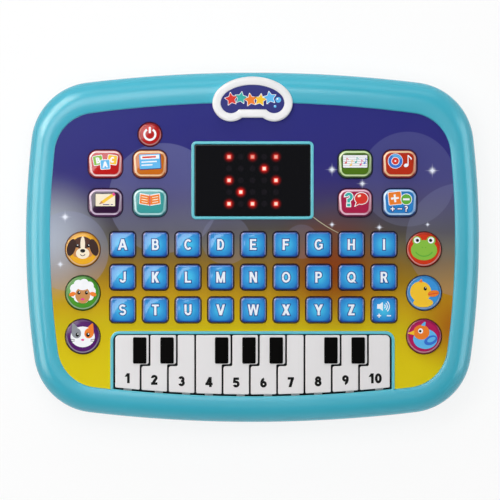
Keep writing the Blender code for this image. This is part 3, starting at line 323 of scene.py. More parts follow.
# The print's sky: heights above the middle, from bottom to top, and the colour at each.
PRINT_SKY = (
    (-77.0, "#e4ce08"), (-62.0, "#dfc902"), (-50.0, "#dbc102"), (-42.0, "#d0ba06"),
    (-33.0, "#cca80a"), (-24.4, "#bf9510"), (-15.8, "#a27c12"), (-7.2, "#8a6c2a"),
    (1.5, "#6c6549"), (9.0, "#524c49"), (12.0, "#4e4a50"), (20.0, "#484360"),
    (28.0, "#3e366c"), (36.0, "#353178"), (46.0, "#302e7b"), (77.0, "#2c2e80"),
)
# Each glow in the sky: its centre, its radius, its strength and its colour. The two warm glows
# are print; the pale one at the deck's left edge is painted light.
PRINT_GLOWS_AND_PAINTED_LIGHT = (
    (43.0, -13.0, 40.0, 0.8, "#8a2a04"),
    (107.0, -42.0, 30.0, 0.85, "#a84c08"),
    # Painted light: a pale glow on the deck's left edge.
    (-108.0, 5.0, 37.0, 0.8, "#c3cbd6"),
)
# Each pale disc of the face print: its centre, its radius and how strongly it shows.
PRINT_DISCS = (
    (-47.0, 26.0, 29.0, 0.22), (-97.0, -2.0, 21.0, 0.22), (-14.0, 4.0, 13.0, 0.14),
    (82.0, 36.0, 25.0, 0.12), (111.0, 4.0, 30.0, 0.14), (26.0, 3.0, 9.0, 0.12),
)
# Each sparkle: its centre and the radius of its glow.
PRINT_SPARKLES = (
    (-99.0, 16.0, 2.8), (-80.0, 18.5, 1.8), (-101.5, -9.0, 2.2), (42.0, 41.0, 2.8),
    (95.0, 40.5, 3.0), (58.0, 33.6, 2.4), (42.0, 12.0, 1.8), (67.0, 10.5, 2.0),
    (83.5, -21.0, 1.8), (92.5, 12.0, 1.5),
)
# The comet's trail: a thin ring's centre and radius, of which only a stretch shows.
TRAIL_X, TRAIL_Y, TRAIL_RADIUS = 78.0, 74.0, 74.0


def off_centre(tree, flat, x, y):
    """How far a point lies in plan from a centre: across, up or down, and in a straight line."""
    offset = add(tree, "VectorMath", (flat, (x, y, 0.0)), operation="SUBTRACT")
    reach = add(tree, "VectorMath", (offset,), operation="ABSOLUTE")
    away = add(tree, "VectorMath", (offset,), "Value", operation="LENGTH")
    return (*add(tree, "SeparateXYZ", (reach,), slice(2)), away)


def face_print():
    """Polyester film, printed on its back: a night sky that turns to gold, with warm glows, large
    pale discs, sparkles and a comet's trail, and a pale glow of painted light at its left edge. The
    film is smooth, with a gloss of its own."""
    drift, grain = (0.2, 0.26, 14.0), (6.0, 0.004)
    made, tree, point = start_finish(
        "printed_polyester_film", "#33307c", drift, grain, specular_ior_level=0.08
    )
    flat = add(tree, "VectorMath", (point, (1.0, 1.0, 0.0)), operation="MULTIPLY")
    x, y, _ = add(tree, "SeparateXYZ", (flat,), slice(3))
    noise = add(tree, "TexNoise", {"Vector": flat, "Scale": 1 / 60, "Detail": 2.0})
    drift = add(tree, "MapRange", (noise, 0.25, 0.75, -3.0, 3.0))
    height = add(tree, "Math", (y, drift), operation="ADD")
    low, high = PRINT_SKY[0][0], PRINT_SKY[-1][0]
    colour = add(tree, "ValToRGB", (add(tree, "MapRange", (height, low, high, 0.0, 1.0)),))
    stops = colour.node.color_ramp.elements
    while len(stops) < len(PRINT_SKY):
        stops.new(0.5)
    for stop, (level, code) in zip(stops, PRINT_SKY):
        stop.position = (level - low) / (high - low)
        stop.color = linear(code)
    for *centre, radius, strength, glow in PRINT_GLOWS_AND_PAINTED_LIGHT:
        _, _, away = off_centre(tree, flat, *centre)
        colour = lay(tree, colour, (glow, (away, radius, 0.0), strength))
    for *centre, radius, strength in PRINT_DISCS:
        _, _, away = off_centre(tree, flat, *centre)
        inside = (away, radius + 0.25, radius - 0.25)
        depth = (away, 0.0, radius, 0.8 * strength, strength)
        colour = lay(tree, colour, ("#9aa0c8", inside, depth))
    _, _, away = off_centre(tree, flat, TRAIL_X, TRAIL_Y)
    away = add(tree, "Math", (away, TRAIL_RADIUS), operation="SUBTRACT")
    away = add(tree, "Math", (away,), operation="ABSOLUTE")
    trail = ("#d8d4b0", (away, 0.35, 0.0), (x, 62.0, 34.0), (y, 22.0, 14.0), 0.8)
    light = 0.0
    for *centre, size in PRINT_SPARKLES:
        across, level, away = off_centre(tree, flat, *centre)
        core = product(tree, (away, size, 0.0))
        parts = [add(tree, "Math", (core, 2.0), operation="POWER")]
        for thin, long in ((across, level), (level, across)):
            parts.append(product(tree, (thin, 0.16 * size, 0.0), (long, 1.5 * size, 0.0, 0.0, 0.4)))
        for part in parts:
            light = add(tree, "Math", (light, part), operation="ADD")
    light = add(tree, "Math", (light, 1.0), operation="MINIMUM")
    return paint(made, colour, trail, ("#eef2ff", light))


LED_COUNT = 5
# How brightly the lit LEDs glow, by column and row from the upper left, counted from 0.
LIT_LEDS = {
    (0, 0): 0.75, (2, 0): 0.6, (4, 0): 0.65, (3, 1): 1.0, (0, 2): 0.9,
    (4, 2): 0.95, (1, 3): 1.25, (0, 4): 0.95, (2, 4): 0.95, (4, 4): 0.9,
}


def smoked_acrylic():
    """Cast acrylic, smoked almost black and polished: unlit LEDs barely show through it, and each
    lit one is a small squarish core in a red halo."""
    made, tree, point = start_finish(
        "smoked_acrylic", "#0b0b0f", 0.07, (8.0, 0.002), ior=1.49, emission_strength=1.0
    )
    flat = add(tree, "VectorMath", (point, (1.0, 1.0, 0.0)), operation="MULTIPLY")
    colour, glow = "#0b0b0f", "#000000"
    step = (LED_COUNT - 1) / 2
    for row, column in np.ndindex(LED_COUNT, LED_COUNT):
        x = lens_middle[0] + (column - step) * LED_PITCH
        y = lens_middle[1] + (step - row) * LED_PITCH
        across, level, away = off_centre(tree, flat, x, y)
        colour = lay(tree, colour, ("#17141a", (away, 1.8, 1.3)))
        strength = LIT_LEDS.get((column, row))
        if strength:
            halo = product(tree, (away, 3.8, 0.4))
            halo = add(tree, "Math", (halo, 2.0), operation="POWER")
            square = add(tree, "Math", (across, level, 0.5), operation="SMOOTH_MAX")
            glow = lay(
                tree,
                glow,
                ("#e01006", halo, 0.9 * strength),
                ("#ff4a34", (square, 1.5, 0.9), min(1.0, strength)),
                ("#fff2e0", (square, 1.1, 0.5), min(1.0, strength**2)),
            )
    paint(made, glow, socket="Emission Color")
    return paint(made, colour)


TEAL = moulded_abs("moulded_abs_teal", "#3eb1c9", "#44b6cd", 0.24, 0.42)
WHITE = moulded_abs("moulded_abs_white", "#e6e6e8", "#ededee", 0.35)
KEY_WHITE = moulded_abs("moulded_abs_key_white", "#e5e3e4", "#e7e5e6", 0.36, 0.4)
KEY_BLACK = moulded_abs("moulded_abs_black", "#020202", "#040404", 0.45, 0.03)
# The rims' teal is the bezel's teal made lighter: a painted highlight on the rims' rounded tops.
RIM_TEAL_PAINTED_LIGHTER = moulded_abs("moulded_abs_rim_painted_lighter", "#56bfce", "#5fc6d4", 0.24)
BLUE_CAP = letter_key_finish()
FILM = face_print()
SMOKE = smoked_acrylic()
LAMINATE = paper_laminate()
# Moulded silicone rubber: matt and soft grained, with a faint dusty bloom.
SILICONE, *_ = start_finish(
    "dyed_silicone_charcoal", "#1d2226", (0.62, 0.82, 3.0), (0.5, 0.02), ior=1.41
)
# Zinc plated steel: bright grey, with a fine pressed grain and cloudy passivation.
STEEL, *_ = start_finish("plated_steel", "#b9bcc0", (0.22, 0.42, 2.0), (0.4, 0.01), metallic=1.0)
# A speaker's pressed paper cone, coated black: matt, with a felted grain.
CONE, *_ = start_finish("coated_speaker_paper", "#17171a", (0.7, 0.95, 1.5), (0.7, 0.05))
# Screen printed ink under a gloss varnish: an even colour with a fine stipple in its shine.
INKS = {
    name: start_finish("screen_ink_" + name, code, (0.32, 0.4, 0.8), specular_ior_level=0.2)[0]
    for name, code in (
        ("white", "#f6f7fa"), ("halo", "#144f9c"), ("letter", "#ecf4fc"), ("black", "#060607"),
        ("navy", "#242878"), ("red", "#d92a1c"), ("orange", "#ef7d1a"), ("yellow", "#f7c526"),
        ("green", "#5fae35"), ("leaf", "#86bf3c"), ("teal", "#2fb0a8"), ("sky", "#5db8ee"),
        ("blue", "#2f6fd0"), ("pink", "#e2408c"), ("brown", "#4c2a1a"), ("umber", "#33180f"),
        ("tan", "#c98a4b"), ("cream", "#f7ead0"), ("grey", "#8b8f96"),
    )
}


# --- Outlines: points and outward normals, anticlockwise ------------------------------------------
SQUARE = np.array([(-1, -1), (1, -1), (1, 1), (-1, 1)])


def arc(centre, radius, start, end, steps):
    """centre + radius (cos t, sin t) for t from start to end. The normals are (cos t, sin t)."""
    turn = np.linspace(start, end, steps + 1)
    normals = np.stack([np.cos(turn), np.sin(turn)], axis=1)
    return np.asarray(centre) + radius * normals, normals


def circle(radius, centre=(0.0, 0.0), steps=48):
    """An arc of a whole turn, without its last point, which is its first."""
    points, normals = arc(centre, radius, 0.0, 2 * math.pi, steps)
    return points[:-1], normals[:-1]


def spin(turn):
    """The matrix that turns points, given as rows, by an angle in degrees."""
    c, s = math.cos(math.radians(turn)), math.sin(math.radians(turn))
    return np.array([[c, s], [-s, c]])


def ellipse(centre, width, height, turn=0.0, steps=28):
    """centre plus (width / 2 cos t, height / 2 sin t), turned by an angle in degrees."""
    return circle(1.0, steps=steps)[0] * (width / 2, height / 2) @ spin(turn) + centre


def rounded_polygon(corners, radii, steps=6, between=0):
    """A polygon with arcs for corners. At each corner the normal turns evenly from one side's to
    the next's, and the point is the arc's centre plus the radius times that normal, or minus it
    where the corner points inwards. between more points divide each straight side evenly."""
    corners = np.asarray(corners, float)
    radii = np.broadcast_to(np.asarray(radii, float), len(corners))
    before = corners - np.roll(corners, 1, axis=0)
    after = np.roll(corners, -1, axis=0) - corners
    heading = np.arctan2(before[:, 1], before[:, 0])
    turn = np.arctan2(after[:, 1], after[:, 0]) - heading
    turn = (turn + math.pi) % (2 * math.pi) - math.pi
    side = np.where(turn < 0, -1.0, 1.0)
    angle = heading - math.pi / 2
    swept = angle[:, None] + turn[:, None] * np.linspace(0.0, 1.0, steps + 1)
    normals = np.stack([np.cos(swept), np.sin(swept)], axis=2)
    both = normals[:, 0] + normals[:, -1]
    centres = corners - both * (side * radii / (1 + np.cos(turn)))[:, None]
    points = centres[:, None] + (side * radii)[:, None, None] * normals
    share = np.linspace(0.0, 1.0, between + 2)[1:-1, None]
    start, end = points[:, -1:], np.roll(points[:, :1], -1, axis=0)
    points = np.concatenate([points, (1 - share) * start + share * end], axis=1)
    normals = np.concatenate([normals, np.repeat(normals[:, -1:], between, axis=1)], axis=1)
    return points.reshape(-1, 2), normals.reshape(-1, 2)


def rounded_rectangle(width, height, corner, centre=(0.0, 0.0), turn=0.0, steps=8, between=0):
    """A rectangle with round corners, turned about its centre by an angle in degrees."""
    square = SQUARE * (width / 2, height / 2) @ spin(turn) + centre
    return rounded_polygon(square, corner, steps, between)


def grown(outline, distance_out):
    """The outline moved out along its normals."""
    points, normals = outline
    return points + distance_out * normals, normals


def corner_centre(end_centre, end_bow, side_centre, side_bow, corner, upper):
    """Centre of the corner circle that touches an end arc and a side arc from inside."""
    a, b = end_bow - corner, side_bow - corner
    step = side_centre - end_centre
    length = np.hypot(*step)
    along = (a * a - b * b + length * length) / (2 * length)
    across = math.sqrt(a * a - along * along)
    unit = step / length
    normal = np.array([-unit[1], unit[0]])
    ends = [end_centre + unit * along + normal * across * sign for sign in (1, -1)]
    return max(ends, key=lambda p: p[1] if upper else -p[1])


def bowed_outline(half_width, top, bottom, bows, corner):
    """A pillow outline: four long shallow arcs joined by four round corners, all tangent. bows are
    the radii of the top, bottom and side arcs."""
    top_bow, bottom_bow, side_bow = bows
    side_centre = np.array([half_width - side_bow, WIDEST_ABOVE_CENTRE])
    top_centre = np.array([0.0, top - top_bow])
    bottom_centre = np.array([0.0, bottom + bottom_bow])
    upper = corner_centre(top_centre, top_bow, side_centre, side_bow, corner, True)
    lower = corner_centre(bottom_centre, bottom_bow, side_centre, side_bow, corner, False)

    def angle(origin, target):
        return math.atan2(target[1] - origin[1], target[0] - origin[0])

    runs = (
        (bottom_centre, bottom_bow, -math.pi / 2, angle(bottom_centre, lower), 36),
        (lower, corner, angle(bottom_centre, lower), angle(side_centre, lower), 24),
        (side_centre, side_bow, angle(side_centre, lower), angle(side_centre, upper), 48),
        (upper, corner, angle(side_centre, upper), angle(top_centre, upper), 24),
        (top_centre, top_bow, angle(top_centre, upper), math.pi / 2, 36),
    )
    pieces = [arc(*run) for run in runs]
    points = np.concatenate([p[:-1] for p, _ in pieces] + [pieces[-1][0][-1:]])
    normals = np.concatenate([n[:-1] for _, n in pieces] + [pieces[-1][1][-1:]])
    mirror = np.array([-1.0, 1.0])
    left = slice(-2, 0, -1)
    return (
        np.concatenate([points, points[left] * mirror]),
        np.concatenate([normals, normals[left] * mirror]),
    )


def body_outline():
    """The housing's outline at its widest."""
    return bowed_outline(body_half_width, body_top, -body_top, BODY_BOWS, BODY_CORNER)


def deck_outline():
    """The flat deck's outline, inside the bezel."""
    return bowed_outline(deck_half_width, deck_top, deck_bottom, DECK_BOWS, DECK_CORNER)


def deck_bottom_at(x):
    """The deck's lower edge, which is an arc, at x."""
    bow = DECK_BOWS[1]
    return deck_bottom + bow - np.sqrt(bow**2 - x * x)


WELL_FRONT_POINTS = 17


def well_outline():
    """The piano well: straight sides, round upper corners, and a lower edge along the deck's."""
    low = np.linspace(-well_half_width, well_half_width, WELL_FRONT_POINTS)
    lower = np.stack([low, deck_bottom_at(low) + WELL_LEDGE], axis=1)
    upper = [(well_half_width, well_top), (-well_half_width, well_top)]
    radii = [0.2] + [1.0] * (WELL_FRONT_POINTS - 2) + [0.2] + [WELL_CORNER] * 2
    return rounded_polygon(np.concatenate([lower, upper]), radii, steps=6)


def badge_outline(inset=0.0):
    """Half an ellipse over two round lobes, with a straight notch between the lobes."""
    lobe = BADGE_LOBE_RADIUS - inset
    notch = BADGE_LOBE_RADIUS - BADGE_NOTCH - inset
    turn = math.asin(notch / lobe)
    top, normals = arc((0, 0), 1.0, 0.0, math.pi, 48)
    top = top * (BADGE_HALF_WIDTH - inset, BADGE_RISE - inset)
    left, left_normals = arc((-badge_lobe_x, 0.0), lobe, math.pi, 2 * math.pi - turn, 28)
    right, right_normals = arc((badge_lobe_x, 0.0), lobe, math.pi + turn, 2 * math.pi, 28)
    points = np.concatenate([top, left[1:], right[:-1]]) + (0.0, badge_centre_y)
    return points, np.concatenate([normals, left_normals[1:], right_normals[:-1]])


# --- Surfaces: points and blocks of faces ---------------------------------------------------------
def put(name, data):
    """An object of this name and data, in the scene."""
    made = bpy.data.objects.new(name, data)
    bpy.context.scene.collection.objects.link(made)
    return made


def round_edge(offset, top, width, height, steps=6, run_in=0.15):
    """A profile's last stretch: a quarter ellipse of this width and height up to the top, and a
    short level run inside it, which keeps the flat top's shading flat."""
    turn = np.linspace(0.0, math.pi / 2, steps + 1)
    run = np.stack([offset - width * (1 - np.cos(turn)), top - height * (1 - np.sin(turn))], axis=1)
    return [*map(tuple, run), (offset - width - run_in, top)]


def skin(rings, joined=False):
    """Four-sided faces between neighbouring rings of a grid of rings x points, each ring closed.
    joined ties the last ring to the first, and otherwise both ends are capped."""
    count, around = rings.shape[:2]
    row = np.arange(count if joined else count - 1)[:, None] * around
    step = np.arange(around)[None, :]
    following = (step + 1) % around
    above = (row + around) % (count * around)
    faces = np.stack([row + step, row + following, above + following, above + step], axis=-1)
    blocks = [faces.reshape(-1, 4)]
    if not joined:
        blocks += [step[:, ::-1], step + (count - 1) * around]
    return rings.reshape(-1, 3), blocks


def rings_from(outlines, heights):
    """A grid of rings: each outline's points at its height."""
    return np.stack(
        [np.column_stack([points, np.full(len(points), z)]) for points, z in zip(outlines, heights)]
    )


def profile_rings(outline, profile):
    """A grid of rings: the outline moved out along its normals by each offset of a profile."""
    points, normals = outline
    return rings_from([points + out * normals for out, _ in profile], [z for _, z in profile])


def loft(outline, profile, joined=False):
    """The outline carried through a profile of (offset, height): each ring is the outline moved out
    by the offset along its normals."""
    return skin(profile_rings(outline, profile), joined)


def prism(points, low, high):
    """An outline's closed wall between two heights, with both ends capped."""
    return skin(rings_from([points, points], [low, high]))


def plate(outlines, low, high):
    """A flat plate between two heights. The first outline is its edge, and the rest are holes. It
    is a flat curve, filled and given a thickness, and made a closed surface."""
    curve = bpy.data.curves.new("plate", "CURVE")
    curve.dimensions, curve.fill_mode, curve.extrude = "2D", "BOTH", 1.0
    for points in outlines:
        spline = curve.splines.new("POLY")
        spline.points.add(len(points) - 1)
        places = np.column_stack([points, np.zeros(len(points)), np.ones(len(points))])
        spline.points.foreach_set("co", places.ravel())
        spline.use_cyclic_u = True
    holder = put("plate", curve)
    graph = bpy.context.evaluated_depsgraph_get()
    mesh = bpy.data.meshes.new_from_object(holder.evaluated_get(graph))
    work = bmesh.new()
    work.from_mesh(mesh)
    bmesh.ops.remove_doubles(work, verts=work.verts, dist=1e-4)
    bmesh.ops.triangulate(work, faces=work.faces)
    bmesh.ops.recalc_face_normals(work, faces=work.faces)
    work.to_mesh(mesh)
    work.free()
    places = np.zeros((len(mesh.vertices), 3))
    mesh.vertices.foreach_get("co", places.ravel())
    places[:, 2] = np.where(places[:, 2] > 0, high, low)
    corners = corner_points(mesh)
    for made, store in ((holder, "objects"), (curve, "curves"), (mesh, "meshes")):
        getattr(bpy.data, store).remove(made)
    return places, [corners.reshape(-1, 3)]


def corner_points(mesh):
    """The number of the point at each corner of a mesh's faces, in order."""
    corners = np.zeros(len(mesh.loops), int)
    mesh.loops.foreach_get("vertex_index", corners)
    return corners


# --- Type: strokes in hundredths of its height, about the middle ----------------------------------
STROKE = 20  # how wide the curved strokes are
DIGIT_STEP = 0.74  # from one digit's middle to the next's, as a share of the height


def slant(foot, low, head, high, width):
    """A sloping stroke with level ends, width across: a square's corners, moved along its lean."""
    lean = (head - foot) / (high - low)

    def outline(grow):
        y = np.where(SQUARE[:, 1] < 0, low - grow, high + grow)
        half = width / 2 + grow * math.hypot(1.0, lean)
        return np.stack([foot + lean * (y - low) + half * SQUARE[:, 0], y], axis=1)

    return outline


def bar(left, low, right, high):
    """An upright or level stroke, as a rectangle."""
    middle = (left + right) / 2
    return slant(middle, low, middle, high, right - left)


def bend(x, y, width, height, start, end):
    """A curved stroke: a band either side of an ellipse with these half sizes, between two angles
    in degrees."""

    def outline(grow):
        extra = math.degrees(grow / max(width, height))
        turn = np.radians(np.linspace(start - extra, end + extra, 17))
        wave = np.stack([np.cos(turn), np.sin(turn)], axis=1)
        reach, half = np.array([width, height]), STROKE / 2 + grow
        inner = wave[::-1] * np.maximum(reach - half, 1.0)
        return np.concatenate([wave * (reach + half), inner]) + (x, y)

    return outline


def ring(x, y, width, height):
    """A closed curved stroke, as two halves."""
    return [bend(x, y, width, height, 0, 180), bend(x, y, width, height, 180, 360)]


def turned_round(strokes):
    """Strokes turned half round the sign's middle."""
    return [lambda grow, stroke=stroke: -stroke(grow) for stroke in strokes]


STEM = bar(-32, -50, -10, 50)
TYPE_E = [STEM, bar(-30, 31, 27, 50), bar(-30, -9, 22, 10)]
TYPE_O = ring(0, 0, 29.5, 40)
TYPE_P = [STEM, bar(-20, 31, 3, 50), bar(-20, -10, 3, 9), bend(2, 20, 18, 20.5, -90, 90)]
TYPE_SIX = ring(0, -18, 21.5, 22) + [bend(13, -10, 34.5, 50, 105, 178)]
TYPE = {
    "A": [slant(s * 32, -50, s * 1, 50, 23.5) for s in (-1, 1)] + [bar(-20, -28, 20, -10)],
    "B": [STEM, bar(-20, 31, 2, 50), bar(-20, -7, 6, 11), bar(-20, -50, 5, -32)]
    + [bend(2, 21.5, 17, 19.5, -90, 90), bend(3, -19.5, 20, 21.5, -90, 90)],
    "C": [bend(2, 0, 27.5, 39.5, 42, 318)],
    "D": [STEM, bar(-20, 30, 0, 50), bar(-20, -50, 0, -30), bend(-2, 0, 23.5, 40, -90, 90)],
    "E": TYPE_E + [bar(-30, -50, 29, -31)],
    "F": TYPE_E,
    "G": [bend(0, 0, 28, 40, 42, 325), bar(4, -10, 37, 7), bar(18, -36, 37, 0)],
    "H": [bar(-34, -50, -12, 50), bar(12, -50, 34, 50), bar(-20, -9, 20, 9)],
    "I": [bar(-11, -50, 11, 50)],
    "J": [bar(8, -20, 30, 50), bend(0, -20, 19, 20, 180, 360)],
    "K": [bar(-33, -50, -11, 50), slant(-14, -14, 22, 50, 27), slant(22, -50, -6, 8, 26)],
    "L": [bar(-30, -50, -8, 50), bar(-30, -50, 27, -31)],
    "M": [bar(-41, -50, -21, 50), bar(21, -50, 41, 50)]
    + [slant(0, -50, s * 30, 50, 20) for s in (-1, 1)],
    "N": [bar(-35, -50, -15, 50), bar(15, -50, 35, 50), slant(24, -50, -24, 50, 25)],
    "O": TYPE_O,
    "P": TYPE_P,
    "Q": TYPE_O + [slant(36, -50, 5, -20, 22)],
    "R": TYPE_P + [slant(24, -50, 4, -2, 24)],
    "S": [bend(0, 20, 22, 20, 25, 270), bend(0, -20, 22, 20, -155, 90)],
    "T": [bar(-32, 31, 32, 50), bar(-11, -50, 11, 50)],
    "U": [bar(-33, -13, -12, 50), bar(12, -13, 33, 50), bend(0, -13, 22.5, 27, 180, 360)],
    "V": [slant(0, -50, s * 29, 50, 23.5) for s in (-1, 1)],
    "W": [slant(s * 24, -50, s * head, 50, 19) for s in (-1, 1) for head in (42, 2)],
    "X": [slant(s * -24, -50, s * 24, 50, 27) for s in (1, -1)],
    "Y": [bar(-11, -50, 11, 2)] + [slant(0, -8, s * 27, 50, 26) for s in (-1, 1)],
    "Z": [bar(-28, 31, 28, 50), bar(-30, -50, 30, -31), slant(-18, -42, 16, 42, 28)],
    "0": ring(0, 0, 23, 40),
    "1": [bar(0, -50, 20, 50), slant(-12, 20, 8, 50, 24)],
    "2": [bend(0, 20, 21.5, 20, -25, 170), slant(-17, -42, 17, 12, 26), bar(-31, -50, 30, -31)],
    "3": [bend(-2, 20, 20, 20, -90, 150), bend(-1, -19.5, 22, 21.5, -150, 90)],
    "4": [bar(6, -50, 26, 50), bar(-34, -30, 36, -12), slant(-22, -20, 12, 50, 22)],
    "5": [bar(-24, 31, 26, 50), slant(-22, -2, -17, 45, 19), bend(-1, -17, 23.5, 23.5, -150, 120)],
    "6": TYPE_SIX,
    "7": [bar(-30, 31, 30, 50), slant(-8, -50, 18, 40, 24)],
    "8": ring(0, 22, 19, 19) + ring(0, -19, 23, 21.5),
    "9": turned_round(TYPE_SIX),
    "?": [bend(0, 20, 20, 20, -90, 170), bar(-10, -22, 10, 6), bar(-12, -50, 12, -30)],
}


def lettering(text, height, grow=0.0, centre=(0.0, 0.0), turn=0.0):
    """The outlines of a text's strokes, grown all round by some millimetres, in a row about a
    centre, round which they are turned by an angle in degrees."""
    unit, shapes = height / 100, []
    for i, sign in enumerate(text):
        shift = ((i - (len(text) - 1) / 2) * DIGIT_STEP * height, 0.0)
        for stroke in TYPE[sign]:
            shapes.append((stroke(grow / unit) * unit + shift) @ spin(turn) + centre)
    return shapes


def add_piece(name, mesh, body, replaces):
    """One piece from its mesh, smooth but for its sharp edges, on a body."""
    mesh.shade_smooth()
    mesh.set_sharp_from_angle(angle=math.radians(SMOOTH_ANGLE))
    made = put(name, mesh)
    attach(made, body)
    if replaces:
        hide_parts(*replaces)
    return made


def build(name, body, parts, replaces=(), plan=None):
    """One piece from closed surfaces and their materials, on a body. plan gives it a UV map of its
    plan, from 0 to 1 across a (centre, size)."""
    materials, points, faces, kinds, start = [], [], [], [], 0
    for (surface, blocks), material in parts:
        if material not in materials:
            materials.append(material)
        for block in blocks:
            faces += (block + start).tolist()
            kinds += [materials.index(material)] * len(block)
        points.append(surface)
        start += len(surface)
    places = np.concatenate(points)
    mesh = bpy.data.meshes.new(name)
    mesh.from_pydata(places * MM, [], faces)
    for material in materials:
        mesh.materials.append(material)
    mesh.polygons.foreach_set("material_index", kinds)
    if plan:
        centre, size = plan
        share = (places[corner_points(mesh), :2] - centre) / size + 0.5
        mesh.uv_layers.new(name="plan").data.foreach_set("uv", share.ravel())
    add_piece(name, mesh, body, replaces)


# --- Front housing --------------------------------------------------------------------------------
SEAM_EDGE, SIDE_STEP = 0.25, 4.0  # heights above the seam: its soft edge, and the wall's next ring
PANEL_GRIP, PANEL_REACH = 0.5, 1.2  # how far the deck's panel stands in the bezel, up and out
FILM_THICKNESS, FILM_BED, FILM_MARGIN = 0.14, 0.15, 0.3
SOFT_EDGE = 0.45  # the radius on the rims' and the piano keys' upper edges


def make_front_shell():
    """The bezel and the side wall, as one ring: its section runs up the side, over a round crown,
    down to the deck's edge, and back inside at a wall's distance."""
    body, deck = body_outline(), deck_outline()
    roll, back = np.radians(np.linspace(0, 90, 19)), np.radians(np.linspace(90, 0, 7))
    edge = np.radians(np.linspace(0, 90, 5)[1:])
    edge_share = BEZEL_EDGE / BEZEL_SIDE
    flat = np.linspace(BEZEL_ROLL_SHARE, 1 - edge_share, 8)[1:]
    fall = (flat - BEZEL_ROLL_SHARE) / (flat[-1] - BEZEL_ROLL_SHARE)
    foot_z, lip_z = under_deck_z + PANEL_GRIP, seam_z + LIP_HEIGHT
    shares = [0.0, 0.0, *(BEZEL_ROLL_SHARE * (1 - np.cos(roll)))]
    levels = [seam_z, seam_z + SEAM_EDGE, seam_z + SIDE_STEP]
    levels += [*(crest_z - BEZEL_ROLL_DEPTH * (1 - np.sin(roll)))]
    shares += [*flat, *(1 - edge_share * (1 - np.sin(edge))), 1.0]
    levels += [*(crest_z - BEZEL_FALL * fall**2)]
    levels += [*(crest_z - BEZEL_FALL - BEZEL_EDGE * (1 - np.cos(edge))), foot_z, foot_z]
    levels += [*np.maximum(crest_z - WALL - BEZEL_ROLL_DEPTH * (1 - np.sin(back)), lip_z)]
    levels += [lip_z, lip_z, seam_z]
    wall, seat = grown(body, -WALL)[0], grown(deck, WALL)[0]
    lip = grown(body, LIP_THICKNESS + RUNNING_GAP - WALL)[0]
    rings = [grown(body, -SEAM_EDGE)[0]] + [(1 - s) * body[0] + s * deck[0] for s in shares]
    rings += [seat] + [(1 - s) * wall + s * seat for s in BEZEL_ROLL_SHARE * (1 - np.cos(back))]
    shell = skin(rings_from(rings + [wall, lip, lip], levels), joined=True)
    parts = [(shell, TEAL)]
    build("front_shell", "housing", parts, replaces=["front_housing"])


def cap_nodes():
    """The CAD nodes of all the caps that press straight in."""
    names = [f"letter_key_{letter}" for letter in LETTERS] + ["volume_key", "power_button"]
    return names + [n for n in frame["nodes"] if n.startswith(("function_button", "animal_button"))]


def cap_outline(node):
    """A cap's outline in place: round, or a rectangle with its family's corners."""
    centre, (width, height), _ = cap_plan(node)
    if node.startswith("animal") or node == "power_button":
        return circle(width / 2, centre)
    corner = FUNCTION_CORNER if node.startswith("function") else LETTER_CORNER
    return rounded_rectangle(width, height, corner, centre, between=7)


def lens_window():
    """The window in the deck, in which the lens lies with its running gap."""
    width, height = lens_high[:2] - lens_low[:2] - 2 * LENS_FLANGE
    return rounded_rectangle(width, height, LENS_CORNER, lens_middle)


def make_deck():
    """The deck under the bezel's edge, its printed film, and the rims round screen and piano."""
    window, well = lens_window(), well_outline()
    caps = [grown(cap_outline(node), RUNNING_GAP)[0] for node in cap_nodes()]
    bed_z = deck_z - FILM_BED
    edge = grown(deck_outline(), PANEL_REACH)[0]
    panel = plate([edge, window[0], well[0], *caps], under_deck_z, bed_z)
    build("deck_panel", "housing", [(panel, TEAL)])
    under_rim = RIM_WIDTH - 0.2
    edge = grown(deck_outline(), -FILM_MARGIN)[0]
    wide = [grown(window, under_rim)[0], grown(well, under_rim)[0]]
    film = plate([edge, *wide, *caps], deck_z - FILM_THICKNESS, deck_z)
    build("face_film", "housing", [(film, FILM)])
    top = round_edge(RIM_WIDTH, rim_z, SOFT_EDGE, SOFT_EDGE)[:-1]
    inner = [(RIM_WIDTH - offset, z) for offset, z in reversed(top)]
    foot_z = bed_z - PANEL_GRIP
    section = [(RIM_WIDTH, foot_z), *top, (RIM_WIDTH / 2, rim_z), *inner, (0.0, foot_z)]
    for name, opening in (("screen_rim", window), ("piano_rim", well)):
        parts = [(loft(opening, section, joined=True), RIM_TEAL_PAINTED_LIGHTER)]
        build(name, "housing", parts)


def make_lens():
    """The window's lens with a fine polished edge."""
    width, height = lens_high[:2] - lens_low[:2] - 2 * (LENS_FLANGE + RUNNING_GAP)
    outline = rounded_rectangle(width, height, LENS_CORNER, lens_middle)
    profile = [(0.0, flange_top_z)] + round_edge(0.0, lens_high[2], 0.25, 0.25, 3)
    parts = [(loft(outline, profile), SMOKE)]
    build("smoked_lens", "housing", parts, replaces=["screen_lens"])


# --- Caps -----------------------------------------------------------------------------------------
def cap_surface(node, shoulder, crown, dome):
    """A cap over its hidden flange: straight sides, a shoulder that is a quarter ellipse, and a
    domed top. The top's rings shrink about the middle, and each point lies at the shoulder's top
    plus dome (1 - u^2)(1 - v^2), or dome (1 - s^2) on a round cap, with u, v and s its shares of
    the way out."""
    centre, size, top = cap_plan(node)
    points, normals = cap_outline(node)
    edge_z = top - dome
    flange = FLANGE_WIDTH + RUNNING_GAP
    profile = [(flange, flange_bottom_z), (flange, flange_top_z), (0.0, flange_top_z)]
    profile += round_edge(0.0, edge_z, crown, shoulder, 9)[:-1]
    rings = [*profile_rings((points, normals), profile)]
    half = np.array(size) / 2 - crown
    brim = points - crown * normals - centre
    for share in np.linspace(1.0, 0.05, 11)[1:]:
        way = share * brim / half
        if node.startswith(("animal", "power")):
            rise = 1 - (way**2).sum(axis=1)
        else:
            rise = np.prod(1 - way**2, axis=1)
        rings.append(np.column_stack([share * brim + centre, edge_z + dome * rise]))
    return skin(np.stack(rings))


